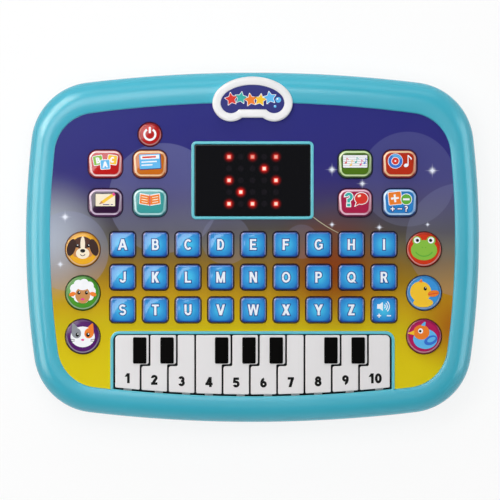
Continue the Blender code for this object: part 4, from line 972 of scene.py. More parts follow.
def make_cap(node, finish, top):
    """One cap in its finish, with a top of its kind."""
    parts = [(cap_surface(node, *top), finish)]
    build(node + "_cap", node, parts, replaces=[node], plan=cap_plan(node)[:2])


INK_STEP, INK_REACH = 0.12, 0.4  # how far a print stands above its cap, and reaches into it


def print_on(node, layers, scale=1.0):
    """Prints layers on a cap's top: each an ink and a flat outline about the cap's middle. The
    later lie over the earlier, each a hair higher."""
    centre, _, top = cap_plan(node)
    levels = INK_STEP * (0.3 + np.arange(len(layers)) / len(layers))
    parts = [
        (prism(shape * scale + centre, top - INK_REACH, top + level), INKS[ink])
        for (ink, shape), level in zip(layers, levels)
    ]
    build(node + "_print", node, parts)


def inked(ink, shapes):
    """Layers of one ink from flat outlines."""
    return [(ink, shape) for shape in shapes]


def ovals(*rows):
    """Layers of ellipses: each row is an ink, a centre, a width and a height, and a turn."""
    return [(ink, ellipse((x, y), *rest)) for ink, x, y, *rest in rows]


def tiles(*rows):
    """Layers of rectangles: each row is an ink, a centre, a width, a height, a corner, a turn."""
    return [
        (ink, rounded_rectangle(width, height, corner, (x, y), *turn, steps=4)[0])
        for ink, x, y, width, height, corner, *turn in rows
    ]


def patches(*rows):
    """Layers of polygons: each row is an ink, the corners' radius and the corners."""
    return [(ink, rounded_polygon(corners, radius, steps=3)[0]) for ink, radius, *corners in rows]


def mirrored(layers):
    """Layers on the right and their mirror images on the left, the left ones first."""
    return [(ink, shape[::-1] * (-1, 1)) for ink, shape in layers] + layers


def flat_band(centre, inner, outer, start, end, steps=24):
    """A band between two arcs, from a start to an end angle in degrees."""
    a, b = math.radians(start), math.radians(end)
    return np.concatenate([arc(centre, outer, a, b, steps)[0], arc(centre, inner, b, a, steps)[0]])


# Each kind of cap's top: the shoulder's height and width, and how high the dome stands.
KEY_TOP, POWER_TOP = (1.4, 1.6, 0.45), (1.7, 1.9, 0.3)
BUTTON_TOP, DISC_TOP = (1.9, 2.2, 0.25), (1.1, 1.15, 0.35)
KEY_LETTER_HEIGHT = 5.8


def make_letter_keys():
    """26 letter keys and the volume key, each with its print in white on a soft blue halo."""
    for letter in LETTERS:
        node = f"letter_key_{letter}"
        make_cap(node, BLUE_CAP, KEY_TOP)
        layers = []
        for ink, grow in (("halo", 0.4), ("letter", -0.05)):
            layers += inked(ink, lettering(letter.upper(), KEY_LETTER_HEIGHT, grow))
        print_on(node, layers)
    make_cap("volume_key", BLUE_CAP, KEY_TOP)
    horn = ((-3.6, 0.6), (-2.2, 0.6), (-0.6, -0.6), (-0.6, 4.2), (-2.2, 3.0), (-3.6, 3.0))
    layers = patches(("letter", 0.2, *horn))
    waves = [flat_band((-0.6, 1.8), r, r + 0.5, -48, 48, 10) for r in (1.0, 2.1, 3.2)]
    layers += inked("letter", waves)
    signs = ((-2.6, 2.2, 0.6), (2.6, 2.2, 0.6), (-2.6, 0.6, 2.2))
    layers += tiles(*(("letter", x, -3.1, width, height, 0.1) for x, width, height in signs))
    print_on("volume_key", layers)


def make_power_button():
    """A red gloss button with the plain power sign: an open ring and a bar."""
    finish = disc_finish("gloss_cap_red", "#b80d0a", "#6c0a12", "power_button")
    make_cap("power_button", finish, POWER_TOP)
    layers = inked("white", [flat_band((0.0, 0.0), 2.35, 3.45, 122, 418, 40)])
    layers += tiles(("red", 0.0, 2.9, 2.3, 3.0, 0.35), ("white", 0.0, 2.3, 1.15, 3.4, 0.35))
    print_on("power_button", layers)


def note(ink, x, y, scale):
    """A music note at a place: a tilted head, a stem and a flag. Its corners aren't scaled."""
    corner = 0.05 / scale
    layers = ovals((ink, 0.0, 0.0, 1.5, 1.1, 20)) + tiles((ink, 0.6, 1.6, 0.3, 3.2, corner))
    layers += patches((ink, corner, (0.5, 3.2), (1.7, 1.7), (1.8, 2.3), (0.7, 3.3)))
    return [(ink, shape * scale + (x, y)) for ink, shape in layers]


def letter_picture():
    """Three tilted blocks with a letter each."""
    layers = []
    for ink, x, y, turn, letter in (
        ("leaf", -4.1, 0.6, 10, "B"), ("yellow", 3.9, 0.9, -8, "C"), ("sky", -0.1, -1.7, 4, "A")
    ):
        layers += tiles(("white", x, y, 5.6, 5.6, 0.7, turn), (ink, x, y, 4.9, 4.9, 0.5, turn))
        layers += inked("white", lettering(letter, 3.1, 0.12, (x, y), turn))
    return layers


def word_picture():
    """A card with a heading and two lines."""
    return tiles(
        ("navy", 0.25, -0.25, 12.0, 8.4, 0.6, 3.0), ("sky", 0.0, 0.0, 11.6, 8.0, 0.5, 3.0),
        ("white", 0.0, 2.4, 10.4, 2.2, 0.3, 3.0), ("red", -0.4, 2.4, 7.6, 0.9, 0.2, 3.0),
        ("white", -0.4, -0.2, 8.6, 0.7, 0.2, 3.0), ("white", -1.6, -2.0, 6.2, 0.7, 0.2, 3.0),
    )


def spell_picture():
    """A pencil that writes on a sheet."""
    return (
        tiles(
            ("black", 0.0, 0.0, 11.4, 7.4, 0.6), ("cream", 0.0, 0.0, 10.8, 6.8, 0.4),
            ("yellow", 1.4, 0.9, 7.4, 1.7, 0.1, 35.0), ("pink", 4.7, 3.2, 1.4, 1.7, 0.3, 35.0),
        )
        + patches(
            ("tan", 0.05, (-2.2, -0.4), (-1.2, -1.8), (-3.4, -2.3)),
            ("black", 0.03, (-3.0, -1.6), (-2.7, -2.1), (-3.5, -2.35)),
        )
        + tiles(("navy", 0.4, -2.5, 3.6, 0.45, 0.2), ("navy", 3.6, -2.5, 1.2, 0.45, 0.2))
    )


def read_picture():
    """An open book: the right page, mirrored, and a spine."""
    page = ((0.0, -3.2), (6.0, -2.2), (5.6, 3.9), (0.0, 2.9))
    inner = [(x * 0.88 + 0.35, y * 0.84) for x, y in page]
    right = patches(("white", 0.3, *page), ("orange", 0.3, *inner))
    right += tiles(*(("cream", 3.0, y, 3.4, 0.45, 0.15, 9.0) for y in (1.65, 0.25, -1.15)))
    return mirrored(right) + tiles(("red", 0.0, -0.2, 0.6, 6.0, 0.2))


def song_picture():
    """Five notes on a stave."""
    layers = tiles(("black", 0.0, 0.0, 14.0, 7.4, 0.5), ("white", 0.0, 0.0, 13.5, 6.9, 0.4))
    layers += tiles(*(("grey", 0.0, y, 13.1, 0.16, 0.05) for y in (-2.4, -1.2, 0.0, 1.2, 2.4)))
    for ink, x, y in (
        ("red", -5.2, -0.8), ("yellow", -2.4, -2.0), ("teal", 0.4, -0.4), ("pink", 3.0, -1.8),
        ("blue", 5.2, -0.9),
    ):
        layers += note(ink, x, y, 0.85)
    return layers


def music_picture():
    """A disc and a note."""
    x, y = -2.4, 0.2
    layers = ovals(("white", x, y, 8.4, 8.4), ("blue", x, y, 7.8, 7.8))
    layers += inked("sky", [flat_band((x, y), 2.6, 3.6, 20, 120)])
    layers += ovals(("white", x, y, 4.6, 4.6), ("red", x, y, 3.8, 3.8), ("white", x, y, 1.0, 1.0))
    return layers + note("white", 3.6, -2.2, 1.75)


def question_picture():
    """A question mark and a speech bubble."""
    layers = []
    for ink, grow in (("white", 0.45), ("teal", 0.0)):
        layers += inked(ink, lettering("?", 7.6, grow, (-3.6, 0.3)))
    layers += ovals(("white", 3.4, 0.9, 8.0, 7.0))
    layers += patches(("white", 0.2, (0.4, -1.0), (-0.6, -4.0), (3.4, -1.8)))
    layers += ovals(("red", 3.4, 0.9, 7.2, 6.2))
    layers += patches(("red", 0.2, (1.0, -0.8), (0.1, -3.2), (3.2, -1.6)))
    return layers + ovals(("cream", 2.3, 2.3, 2.0, 1.3, 25))


def number_picture():
    """A plus on a square, a minus on a disc, and a row of small signs under them."""
    layers = tiles(
        ("white", -2.6, 1.0, 7.6, 7.6, 0.8, 6.0), ("orange", -2.6, 1.0, 6.9, 6.9, 0.6, 6.0),
        ("white", -2.6, 1.0, 4.4, 1.1, 0.2, 6.0), ("white", -2.6, 1.0, 1.1, 4.4, 0.2, 6.0),
    )
    layers += ovals(("white", 3.7, 0.4, 6.4, 6.4), ("green", 3.7, 0.4, 5.7, 5.7))
    layers += tiles(("white", 3.7, 0.4, 3.6, 1.1, 0.2))
    for ink, grow in (("navy", 0.35), ("white", 0.0)):
        wide, thin = 2.5 + 2 * grow, 0.6 + 2 * grow
        signs = ((-3.9, wide, thin), (0.1, wide, thin), (-3.9, thin, wide))
        layers += tiles(*((ink, x, -4.9, width, height, 0.2) for x, width, height in signs))
        layers += inked(ink, lettering("?", 3.2, grow, (3.6, -4.8)))
    return layers


PRINT_RISE, PRINT_SCALE = 1.5, 0.95
# Each function button: its face, the colour of its painted highlight line, its deep outline, its
# slot and its picture.
FUNCTION_BUTTONS = {
    "letter": ("#c20806", "#fbdcda", "#8a0a1c", "red_plastic", letter_picture),
    "word": ("#cf6c06", "#fbd6a4", "#96401a", "orange_plastic", word_picture),
    "spell": ("#2c0b32", "#dcc4e0", "#4d1450", "purple_plastic", spell_picture),
    "read": ("#38a09f", "#bfeaec", "#2a6c78", "green_plastic", read_picture),
    "song": ("#4f7810", "#d3ecae", "#2c4a20", "green_plastic", song_picture),
    "music": ("#c02a06", "#f6cb98", "#7c1c20", "orange_plastic", music_picture),
    "question": ("#b01848", "#f0c2d8", "#66163f", "pink_plastic", question_picture),
    "number": ("#2487d4", "#bfe2fd", "#1b3a72", "blue_plastic", number_picture),
}


def make_function_buttons():
    """Eight gloss buttons in their own colours, each with a bright rim and a picture."""
    for name, (face, rim, deep, slot, picture) in FUNCTION_BUTTONS.items():
        node = f"function_button_{name}"
        make_cap(node, button_finish(f"gloss_cap_{name}", face, rim, deep), BUTTON_TOP)
        lifted = [(ink, shape + (0.0, PRINT_RISE)) for ink, shape in picture()]
        print_on(node, lifted, PRINT_SCALE)


def eyes(x, y, size):
    """A pair of round eyes, each with a glint to its upper right."""
    pair = []
    for middle in (-x, x):
        glint = ("white", middle + size * 0.15, y + size * 0.2, size * 0.35, size * 0.35)
        pair += ovals(("black", middle, y, size, size * 1.15), glint)
    return pair


def dog_face():
    layers = ovals(("brown", 0.0, 0.9, 10.8, 10.2)) + mirrored(ovals(("tan", 2.9, -1.4, 3.8, 4.6)))
    layers += ovals(("cream", 0.0, 2.4, 2.2, 7.4), ("cream", 0.0, -1.9, 6.4, 5.2))
    layers += ovals(("black", 0.0, -0.7, 2.4, 1.7))
    layers += inked("black", [flat_band((0.0, -1.9), 1.0, 1.3, 200, 340, 12)])
    return layers + eyes(2.6, 1.7, 1.5) + mirrored(ovals(("umber", 5.3, 0.9, 4.0, 8.2, 16)))


def sheep_face():
    wool = [(4.0 * math.cos(a), 0.9 + 3.6 * math.sin(a)) for a in np.radians(np.arange(0, 360, 40))]
    layers = ovals(*(("white", x, y, 4.4, 4.4, 0, 16) for x, y in wool))
    layers += mirrored(ovals(("orange", 4.9, -0.6, 3.2, 2.0, -20)))
    layers += ovals(("tan", 0.0, -1.1, 7.0, 7.8), ("white", 0.0, 3.0, 5.6, 3.4))
    return layers + ovals(("pink", 0.0, -3.0, 1.9, 1.1)) + eyes(1.8, 0.1, 1.5)


def cat_face():
    ears = mirrored(patches(("orange", 0.4, (1.4, 3.6), (5.2, 2.0), (4.9, 6.6))))
    layers = [("grey", ears[0][1]), ears[1]]
    layers += ovals(("white", 0.0, -0.2, 11.4, 9.8), ("grey", -3.0, 1.6, 4.4, 5.0, 20))
    layers += ovals(("orange", 3.0, 1.6, 4.4, 5.0, -20), ("pink", 0.0, -1.6, 1.5, 1.0))
    rows = (("black", 5.0, y, 2.6, 0.22, 0.05, turn) for y, turn in ((-1.4, 8), (-2.3, -8)))
    whiskers = tiles(*rows)
    return layers + eyes(2.5, 0.8, 1.7) + mirrored(whiskers)


def frog_face():
    layers = mirrored(ovals(("leaf", 3.3, 4.1, 4.2, 4.2))) + ovals(("leaf", 0.0, -0.4, 12.4, 9.6))
    layers += mirrored(ovals(("white", 3.3, 4.3, 3.0, 3.0)))
    layers += mirrored(ovals(("black", 3.1, 4.2, 1.5, 1.5)))
    layers += inked("green", [flat_band((0.0, 1.6), 4.6, 5.1, 215, 325, 20)])
    return layers + mirrored(ovals(("green", 0.8, 0.9, 0.5, 0.5, 0, 10)))


def duck_face():
    layers = ovals(("yellow", -1.6, 0.6, 10.0, 9.6), ("yellow", -0.4, -4.6, 9.4, 4.4))
    layers += patches(("orange", 0.3, (-2.6, 5.0), (-0.6, 4.8), (-1.2, 7.0)))
    layers += ovals(("orange", 4.4, -0.3, 5.4, 3.0, 10))
    layers += tiles(("red", 4.4, -0.4, 4.6, 0.3, 0.1, 8))
    return layers + ovals(("black", 0.6, 2.0, 1.5, 1.8), ("white", 0.8, 2.4, 0.5, 0.5, 0, 10))


def bird_face():
    layers = ovals(("sky", 0.6, -1.2, 11.4, 9.4), ("orange", -1.2, 2.0, 7.6, 7.0))
    layers += ovals(("blue", 3.2, -1.8, 6.6, 4.2, 25), ("sky", 3.5, -1.5, 4.2, 2.0, 25))
    layers += patches(
        ("yellow", 0.2, (-4.6, 2.8), (-8.0, 1.5), (-4.6, 0.6)),
        ("sky", 0.3, (-1.6, 5.2), (0.6, 4.9), (0.8, 7.4)),
    )
    return layers + ovals(("white", -1.6, 2.6, 2.4, 2.4), ("black", -1.8, 2.5, 1.2, 1.2))


# Each animal button: its face, its deep ring, which also paints the shade at its foot, its slot and
# its picture.
ANIMAL_BUTTONS = {
    "dog": ("#f4b21c", "#9a5c10", "yellow_plastic", dog_face),
    "sheep": ("#4a9a28", "#1f5416", "green_plastic", sheep_face),
    "cat": ("#561a6c", "#2c0a3e", "purple_plastic", cat_face),
    "frog": ("#d8330a", "#7e1a0a", "orange_plastic", frog_face),
    "duck": ("#3898e0", "#144c84", "sky_plastic", duck_face),
    "bird": ("#b80d58", "#660a38", "pink_plastic", bird_face),
}
FACE_SCALE = 1.12


def make_animal_buttons():
    """Six round gloss buttons with a plain round animal's face on each."""
    for name, (face, deep, slot, picture) in ANIMAL_BUTTONS.items():
        node = f"animal_button_{name}"
        make_cap(node, disc_finish(f"gloss_cap_{name}", face, deep), DISC_TOP)
        print_on(node, picture(), FACE_SCALE)


# --- Piano keys -----------------------------------------------------------------------------------
white_pitch = (2 * well_half_width - LAST_KEY_EXTRA) / WHITE_KEYS


def key_front(x):
    """y of a white key's front edge, which follows the well's lower edge."""
    return deck_bottom_at(x) + WELL_LEDGE + KEY_SLOT


def white_boundary(i, upper):
    """x of the slot to the left of white key i, in the keys' lower or upper part."""
    if i == 0:
        return -well_half_width - KEY_SLOT / 2 + WELL_GAP
    if i == WHITE_KEYS:
        return well_half_width + KEY_SLOT / 2 - WELL_GAP
    shift = STEP_SHIFT if upper and i - 1 in STEPPED_KEYS else 0.0
    return -well_half_width + i * white_pitch + shift


KEY_CORNER, STEP_CORNER, HOLLOW_CORNER = 0.7, 1.2, 0.8


def white_outline(i):
    """Plan of white key i with its corners rounded: its upper part reaches right, or starts further
    right, at a step."""
    slot = KEY_SLOT / 2
    left, right = white_boundary(i, False) + slot, white_boundary(i + 1, False) - slot
    upper_left = white_boundary(i, True) + slot
    upper_right = white_boundary(i + 1, True) - slot
    top, step = well_top - slot, well_top - STEP_LENGTH
    outer = WELL_CORNER - WELL_GAP
    corners = [(left, key_front(left), KEY_CORNER), (right, key_front(right), KEY_CORNER)]
    if upper_right > right:
        corners.append((right, step + slot, HOLLOW_CORNER))
        corners.append((upper_right, step + slot, STEP_CORNER))
    corners.append((upper_right, top, outer if i == WHITE_KEYS - 1 else KEY_CORNER))
    corners.append((upper_left, top, outer if i == 0 else KEY_CORNER))
    if upper_left > left:
        corners.append((upper_left, step - slot, HOLLOW_CORNER))
        corners.append((left, step - slot, STEP_CORNER))
    corners = np.array(corners)
    return rounded_polygon(corners[:, :2], corners[:, 2])


def narrow_span(i):
    """The x range that white key i fills over its whole length, clear of both steps."""
    left = max(white_boundary(i, False), white_boundary(i, True)) + KEY_SLOT / 2
    right = min(white_boundary(i + 1, False), white_boundary(i + 1, True)) - KEY_SLOT / 2
    return left, right


DIGIT_HEIGHT, DIGIT_GROW, DIGIT_RISE, DIGIT_SAG = 5.3, 0.2, 7.25, 0.75
DIGIT_SUNK, DIGIT_LIFT, STROKE_LIFT = 0.1, 0.02, 0.002
TAB_OVERLAP, TAB_CORNER, TAB_EDGE, BLACK_SUNK = 0.6, 0.3, 0.2, 0.4


def make_piano_keys():
    """Ten white keys with soft edges, their front tabs, the seven black caps and the digits."""
    skirt = [(0.0, flange_bottom_z), *round_edge(0.0, white_top_z, SOFT_EDGE, SOFT_EDGE, 6, 0.1)]
    tab_top = round_edge(0.0, flange_top_z, TAB_EDGE, TAB_EDGE, 2)
    tab_profile = [(0.0, flange_top_z - TAB_THICKNESS), *tab_top]
    bump = round_edge(0.0, white_top_z + BLACK_HEIGHT, SOFT_EDGE, SOFT_EDGE, 5)
    for i in range(WHITE_KEYS):
        node = f"piano_key_{i + 1}"
        middle = sum(narrow_span(i)) / 2
        place = (middle, key_front(middle) - (TAB_REACH - TAB_OVERLAP) / 2)
        tab = rounded_rectangle(TAB_WIDTH, TAB_REACH + TAB_OVERLAP, TAB_CORNER, place)
        parts = [(loft(white_outline(i), skirt), KEY_WHITE), (loft(tab, tab_profile), KEY_WHITE)]
        build(node + "_white", node, parts, replaces=[node])
        if i in STEPPED_KEYS:
            inset = KEY_SLOT / 2 + BLACK_EDGE
            edge, rear = white_boundary(i + 1, True) - inset, well_top - inset
            place = (edge - BLACK_WIDTH / 2, rear - BLACK_LENGTH / 2)
            outline = rounded_rectangle(BLACK_WIDTH, BLACK_LENGTH, KEY_CORNER, place)
            cap = loft(outline, [(0.0, white_top_z - BLACK_SUNK), *bump])
            build(node + "_black", node, [(cap, KEY_BLACK)])
        middle = (white_boundary(i, False) + white_boundary(i + 1, False)) / 2
        rise = DIGIT_SAG * (deck_bottom_at(middle) - deck_bottom)
        centre = (middle, deck_bottom + WELL_LEDGE + DIGIT_RISE + rise)
        strokes = lettering(str(i + 1), DIGIT_HEIGHT - 2 * DIGIT_GROW, DIGIT_GROW, centre)
        foot, lift = white_top_z - DIGIT_SUNK, white_top_z + DIGIT_LIFT
        prisms = [prism(s, foot, lift + STROKE_LIFT * layer) for layer, s in enumerate(strokes)]
        build(node + "_digit", node, [(stroke, INKS["black"]) for stroke in prisms])


# --- Badge ----------------------------------------------------------------------------------------
BADGE_SUNK, BADGE_ROLL, BADGE_INNER_EDGE = 1.8, 1.3, ((-0.5, 0.0), (-0.15, 0.12), (0.0, 0.4))
INLAY_THICKNESS, INLAY_GAP, BADGE_INK_STEP, BADGE_INK_SUNK = 0.15, 0.1, 0.06, 0.05


def flat_star(centre, radius, turn):
    """A five-pointed star: corners that lie by turns on a circle and on its waist, half as wide."""
    angle = np.radians(turn + 36 * np.arange(10))
    reach = radius * np.where(np.arange(10) % 2, 0.5, 1.0)
    corners = np.stack([reach * np.cos(angle), reach * np.sin(angle)], axis=1) + centre
    return rounded_polygon(corners, radius * 0.06, steps=2)[0]


def make_badge():
    """The white frame with soft edges, its dark inlay, and five stars and two bubbles on it."""
    top, foot = badge_high[2], deck_z - BADGE_SUNK
    floor = top - BADGE_POCKET
    turn = np.radians(np.linspace(0, 90, 8))
    rings = [(0.0, foot), (0.0, top - BADGE_ROLL)]
    rings += zip(BADGE_ROLL * (1 - np.cos(turn)), top - BADGE_ROLL * (1 - np.sin(turn)))
    rings += [(BADGE_RIM + out, top - fall) for out, fall in BADGE_INNER_EDGE]
    rings.append((BADGE_RIM, floor))
    outlines = [badge_outline(inset)[0] for inset, _ in rings]
    parts = [(skin(rings_from(outlines, [z for _, z in rings])), WHITE)]
    build("badge_frame", "housing", parts, replaces=["badge"])
    level = floor + INLAY_THICKNESS
    inlay = prism(badge_outline(BADGE_RIM + INLAY_GAP)[0], floor - 0.1, level)
    layers = []
    for i, ink in enumerate(("red", "teal", "orange", "yellow", "sky")):
        place = (5.1 * i - 11.2, badge_centre_y + 2.0 + 0.7 * math.sin(1.9 * i))
        size, turn = 3.5 - 0.2 * (i % 2), 90 + 9 * (-1) ** i
        layers.append(("white", flat_star(place, size + 0.55, turn), 1))
        layers.append((ink, flat_star(place, size, turn), 2))
    for x, y, radius in ((13.6, 1.6, 1.5), (11.9, -1.8, 0.7)):
        y += badge_centre_y
        glint = (x - 0.3 * radius, y + 0.35 * radius)
        layers.append(("sky", ellipse((x, y), 2 * radius, 2 * radius), 1))
        layers.append(("white", ellipse(glint, 0.7 * radius, 0.5 * radius, 30), 2))
    parts = [(inlay, INKS["navy"])]
    for ink, shape, height in layers:
        top = level + BADGE_INK_STEP * height
        parts.append((prism(shape, level - BADGE_INK_SUNK, top), INKS[ink]))
    build("badge_inlay", "housing", parts)


# --- Back and inside ------------------------------------------------------------------------------
def merged_copy(name, node, finish):
    """A CAD node's shape as one smooth-shaded piece, its loose triangles merged."""
    mesh = frame["nodes"][node].data.copy()
    work = bmesh.new()
    work.from_mesh(mesh)
    bmesh.ops.remove_doubles(work, verts=work.verts, dist=1e-6)
    bmesh.ops.dissolve_limit(
        work, angle_limit=math.radians(0.4), verts=work.verts, edges=work.edges, delimit={"SHARP"}
    )
    work.to_mesh(mesh)
    work.free()
    mesh.name = name
    mesh.materials.clear()
    mesh.materials.append(finish)
    made = add_piece(name, mesh, frame_body(node), [node])
    weigh = made.modifiers.new("flat_faces_lead", "WEIGHTED_NORMAL")
    weigh.keep_sharp, weigh.weight = True, 100


def frame_body(node):
    """The name of the body that a CAD node is on."""
    bodies = frame["record"]["behaviour"]["bodies"]
    return next(body for body, nodes in bodies.items() if node in nodes)


SPEAKER_CENTRE, SPEAKER_RADIUS, SPEAKER_DEPTH = (-65.2, 5.0), 18.0, 9.0
MAGNET_RADIUS = 9.6
BAY_CENTRE_Y = 5.0
FLOOR_Z, DOOR_TOP_Z, PILLAR_TOP_Z = 3.7, 3.3, 14.0
SCREW_SIDE_INSET, SCREW_TOP_INSET, SCREW_BELOW_ANIMALS = 15.2, 11.1, 9.2
BOSS_RADIUS, LEDGE_AND_WALL = 3.5, 3.7
CELLS, CELL_RADIUS = 3, 5.25
HEAD_RADIUS, HEAD_HEIGHT, SHANK_RADIUS = 2.8, 1.9, 1.3
DOOR_EAR, DOOR_HEAD_RADIUS, DOOR_SCREW_FACE, DOOR_SCREW_SEAT = 5.0, 1.4, 1.7, 2.4
LEAF_WIDTH, LEAF_HEIGHT, LEAF_THICKNESS, LEAF_BEHIND = 8.6, 7.6, 0.4, 0.25
# The cells' springs: the wide and the narrow radius, the length, the turns and the wire.
SPRING, SPRING_BEHIND = (3.2, 1.9, 2.4, 4, 0.6), 0.45


def make_speaker():
    """A small speaker that faces the grille: a turned basket and magnet, and in its mouth a coated
    cone with a half-round roll."""
    floor = FLOOR_Z + 0.1
    rim, magnet, top = SPEAKER_RADIUS - 0.3, MAGNET_RADIUS, SPEAKER_DEPTH
    turned = [(0.6, 1.4), (rim - 1.0, 1.4), (rim - 0.9, 0.0), (rim, 0.0), (rim, 1.7)]
    turned += [(rim - 2.1, 2.6), (magnet + 0.6, 5.2), (magnet, 5.4), (magnet, top - 0.4)]
    turned += [(magnet - 0.4, top), (0.6, top)]
    cone = [(0.5, 0.35), (3.5, 0.55), (5.6, 1.05), (6.0, 1.2), (13.6, 0.9)]
    cone += [(14.0, 0.5), (14.8, 0.3), (15.6, 0.5), (16.0, 0.9), (16.6, 0.9), (16.6, 1.45)]
    middle = circle(1.0, SPEAKER_CENTRE)
    parts = [
        (loft(middle, [(reach - 1.0, floor + rise) for reach, rise in profile]), finish)
        for profile, finish in ((turned, STEEL), (cone, CONE))
    ]
    build("speaker_unit", "housing", parts)


def cross(reach, width):
    """A screwdriver's cross: twelve corners about the middle."""
    a, b = reach, width / 2
    quarter = np.array([(a, -b), (a, b), (b, b)])
    turns = [np.array([[c, s], [-s, c]]) for c, s in ((1, 0), (0, 1), (-1, 0), (0, -1))]
    return np.concatenate([quarter @ turn for turn in turns])


def screw(place, face_z, seat_z, reach, shank_z):
    """A screw seen from below: a flat head with a cross sunk in it, on a plain shank."""
    place = np.asarray(place)
    disc = circle(reach, place, 24)
    sunk = 0.4 * (seat_z - face_z)
    recess = cross(0.62 * reach, 0.24 * reach) + place
    face = plate([disc[0], recess], face_z, face_z + sunk)
    head = loft(disc, [(0.0, face_z + sunk - 0.05), (0.0, seat_z)])
    thin = circle(min(SHANK_RADIUS, 0.8 * reach), place, 16)
    shank = loft(thin, [(0.0, seat_z - 0.2), (0.0, shank_z)])
    return [(face, STEEL), (head, STEEL), (shank, STEEL)]


def make_screws():
    """Six housing screws deep in their pillars, and the door's screw in its ear."""
    corner_x = deck_half_width - SCREW_SIDE_INSET
    middle_x = lens_high[0] - LENS_FLANGE + RUNNING_GAP + RIM_WIDTH + BOSS_RADIUS
    upper_y = deck_top - SCREW_TOP_INSET
    lower_y = box_of("animal_button_cat")[0][1] + FLANGE_WIDTH + RUNNING_GAP - SCREW_BELOW_ANIMALS
    seat = PILLAR_TOP_Z - HEAD_SEAT
    parts = []
    for side in (-1, 1):
        for x, y in ((corner_x, upper_y), (middle_x, upper_y), (corner_x, lower_y)):
            place = (side * x, y)
            parts += screw(place, seat - HEAD_HEIGHT, seat, HEAD_RADIUS, PILLAR_TOP_Z)
    build("housing_screws", "housing", parts)
    place = (0.0, box_of("battery_door")[0][1] + DOOR_EAR * 2 / 3)
    parts = screw(place, DOOR_SCREW_FACE, DOOR_SCREW_SEAT, DOOR_HEAD_RADIUS, DOOR_TOP_Z)
    build("door_screw", frame_body("battery_door"), parts)


def coil(reach, tip_reach, length, turns, wire):
    """A conical spring of round wire along x: its middle line is a helix whose radius falls from
    reach to tip_reach, and the wire's rings stand square to the line."""
    t = np.linspace(0.0, 1.0, 22 * turns)
    angle = 2 * math.pi * turns * t
    radius = reach + (tip_reach - reach) * t
    line = np.stack([length * t, radius * np.cos(angle), radius * np.sin(angle)], axis=1)
    along = np.gradient(line, axis=0)
    along /= np.linalg.norm(along, axis=1, keepdims=True)
    outward = np.stack([np.zeros_like(t), np.cos(angle), np.sin(angle)], axis=1)
    third = np.cross(along, outward)
    third /= np.linalg.norm(third, axis=1, keepdims=True)
    outward = np.cross(third, along)
    round_wire = circle(wire / 2, steps=8)[0][:, :, None]
    across = outward[:, None] * round_wire[:, 0] + third[:, None] * round_wire[:, 1]
    return skin(line[:, None] + across)


def make_contacts():
    """The cells' contacts: a sprung and a plain plate at the ends of each of the three places."""
    low, high = box_of("battery_tub")
    half = (high[0] - low[0]) / 2 - LEDGE_AND_WALL
    pitch = (high[1] - BAY_CENTRE_Y - LEDGE_AND_WALL) * 2 / CELLS
    parts = []
    for i in range(CELLS):
        y, z = BAY_CENTRE_Y + (i - (CELLS - 1) / 2) * pitch, DOOR_TOP_Z + CELL_RADIUS
        for side in (-1, 1):
            place = (side * (half - LEAF_BEHIND), y)
            leaf = rounded_rectangle(LEAF_THICKNESS, LEAF_WIDTH, 0.1, place, steps=2)[0]
            parts.append((prism(leaf, z - LEAF_HEIGHT / 2, z + LEAF_HEIGHT / 2), STEEL))
        side = 1 if i % 2 else -1
        points, blocks = coil(*SPRING)
        points = points * (-side, 1.0, 1.0) + (side * (half - SPRING_BEHIND), y, z)
        blocks = [block[:, ::-1] for block in blocks] if side > 0 else blocks
        parts.append(((points, blocks), STEEL))
    build("cell_contacts", "housing", parts)


# A dark strip of painted shade under the piano keys' slots: its width, thickness, overlap on the
# mat and clearance.
SHADE_STRIP_WIDTH, SHADE_STRIP_THICKNESS, SHADE_STRIP_OVERLAP, SHADE_STRIP_CLEAR = 9.0, 1.6, 0.2, 1.0


def make_slot_shade_strip():
    """A dark silicone strip under the piano keys' fronts, put there to paint shade into the slots
    between the keys.
    """
    low, _ = box_of("key_mat")
    centre = (0.0, low[1] + SHADE_STRIP_OVERLAP - SHADE_STRIP_WIDTH / 2)
    length = 2 * (well_half_width - SHADE_STRIP_CLEAR)
    outline, _ = rounded_rectangle(length, SHADE_STRIP_WIDTH, 1.0, centre)
    strip = prism(outline, low[2], low[2] + SHADE_STRIP_THICKNESS)
    build("slot_shade_strip", "housing", [(strip, SILICONE)])


def make_back():
    """The housing's back half, the door and the inside: the CAD's own shapes, and new ones."""
    for name, node, finish, slot in (
        ("rear_shell", "rear_housing", TEAL, "housing_plastic"),
        ("cell_door", "battery_door", TEAL, "housing_plastic"),
        ("silicone_mat", "key_mat", SILICONE, "mat_rubber"),
        ("circuit_board", "main_board", LAMINATE, "board_laminate"),
        ("battery_block", "battery_tub", TEAL, "housing_plastic"),
    ):
        merged_copy(name, node, finish)
    # Painted shade: a dark strip that darkens the piano keys' slots.
    make_slot_shade_strip()
    make_speaker()
    make_screws()
    make_contacts()


# --- Studio ---------------------------------------------------------------------------------------
FLOOR_REACH, FLOOR_GLOW = 4.0, 0.85
# The camera's view at the height of the face, in millimetres, and its lens.
VIEW_WIDTH, VIEW_CENTRE, FACE_Z = 264.3, (-1.32, -1.45), 22.0
LENS_LENGTH, SENSOR_WIDTH = 800.0, 36.0
PLAIN, WARM, WARMER = (1.0, 1.0, 1.0), (1.0, 0.86, 0.74), (1.0, 0.82, 0.68)
FACE = (0.0, 0.0, 0.02)
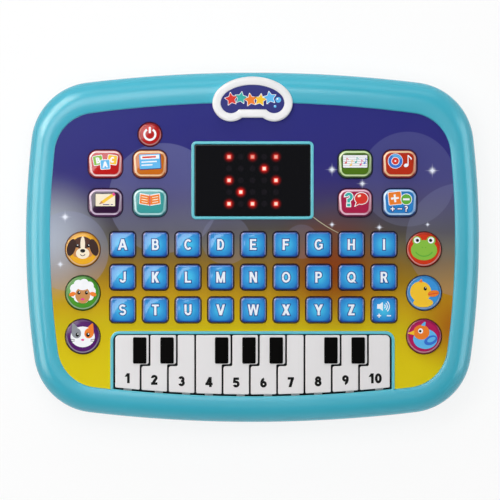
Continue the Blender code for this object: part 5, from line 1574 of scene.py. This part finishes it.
# Each lamp: its place, what it faces, its size, power and colour, its turn, and what it lights.
LAMPS = (
    ("left", (-1.2, 0.05, 0.62), FACE, (1.3, 0.9), 19.0, WARM, 0.0, "glossy"),
    ("right", (1.2, 0.05, 0.62), FACE, (1.3, 0.9), 13.0, PLAIN, 0.0, "glossy"),
    ("top", (0.0, 1.3, 0.85), FACE, (1.4, 0.5), 3.4, PLAIN, 0.0, "both"),
    ("overhead", (0.0, 0.0, 1.5), (0.0, 0.0, 0.0), (1.0, 1.0), 7.4, PLAIN, 0.0, "diffuse"),
    ("corner", (-0.8, 0.7, 0.8), FACE, (0.9, 0.7), 20.0, WARMER, 0.0, "glossy"),
    ("window", (-0.175, 0.175, 0.6), (-0.175, 0.175, 0.0), (0.55, 0.26), 1.9, PLAIN, 45.0, "both"),
)


def make_studio():
    """A pale floor, soft lamps, and a camera straight above with a long lens."""
    paper, tree, _ = start_finish("studio_paper", "#fbfbfb", 0.9, (3.0, 0.02))
    lit = tree.nodes["Principled BSDF"].outputs[0]
    paths = add(tree, "LightPath", out=slice(None))
    rays = {path.name: path for path in paths}
    sent_on = (rays["Is Glossy Ray"], rays["Is Transmission Ray"])
    sent_on = add(tree, "Math", sent_on, operation="MAXIMUM")
    seen = product(tree, rays["Is Camera Ray"], FLOOR_GLOW)
    share = add(tree, "Math", (seen, sent_on), operation="MAXIMUM")
    glow = add(tree, "Emission", {"Color": "#ffffff", "Strength": 1.0})
    both = add(tree, "MixShader", (share, lit, glow))
    tree.links.new(both, tree.nodes["Material Output"].inputs[0])
    mesh = bpy.data.meshes.new("floor")
    corners = [(x * FLOOR_REACH, y * FLOOR_REACH, 0.0) for x, y in SQUARE.tolist()]
    mesh.from_pydata(corners, [], [(0, 1, 2, 3)])
    mesh.materials.append(paper)
    floor = put("floor", mesh)

    world = bpy.data.worlds.new("studio")
    bpy.context.scene.world = world
    world.use_nodes = True
    sky = world.node_tree
    rise = add(sky, "SeparateXYZ", (add(sky, "TexCoord", out="Generated"),), 2)
    level = add(sky, "MapRange", (rise, 0.0, 0.6, 1.0, 0.1))
    sky.links.new(level, sky.nodes["Background"].inputs["Strength"])
    sky.nodes["Background"].inputs["Color"].default_value = linear("#ffffff")

    for name, place, target, size, power, colour, turn, shown_in in LAMPS:
        data = bpy.data.lights.new(name, "AREA")
        data.shape = "RECTANGLE"
        data.energy = power
        data.color = colour
        data.size, data.size_y = size
        lamp = put(name, data)
        lamp.location = place
        direction = Vector(target) - lamp.location
        lamp.rotation_euler = direction.to_track_quat("-Z", "Y").to_euler()
        lamp.rotation_euler.z += math.radians(turn)
        lamp.visible_camera = False
        lamp.visible_diffuse = shown_in != "glossy"
        lamp.visible_glossy = shown_in != "diffuse"

    camera = bpy.data.cameras.new("camera")
    camera.lens, camera.sensor_width = LENS_LENGTH, SENSOR_WIDTH
    camera.clip_end = 40.0
    holder = put("camera", camera)
    rise = FACE_Z + VIEW_WIDTH * LENS_LENGTH / SENSOR_WIDTH
    holder.location = (VIEW_CENTRE[0] * MM, VIEW_CENTRE[1] * MM, rise * MM)
    bpy.context.scene.camera = holder
    bpy.context.scene.view_settings.view_transform = "Standard"


make_studio()
make_front_shell()
make_deck()
make_lens()
make_letter_keys()
make_power_button()
make_function_buttons()
make_animal_buttons()
make_piano_keys()
make_badge()
make_back()
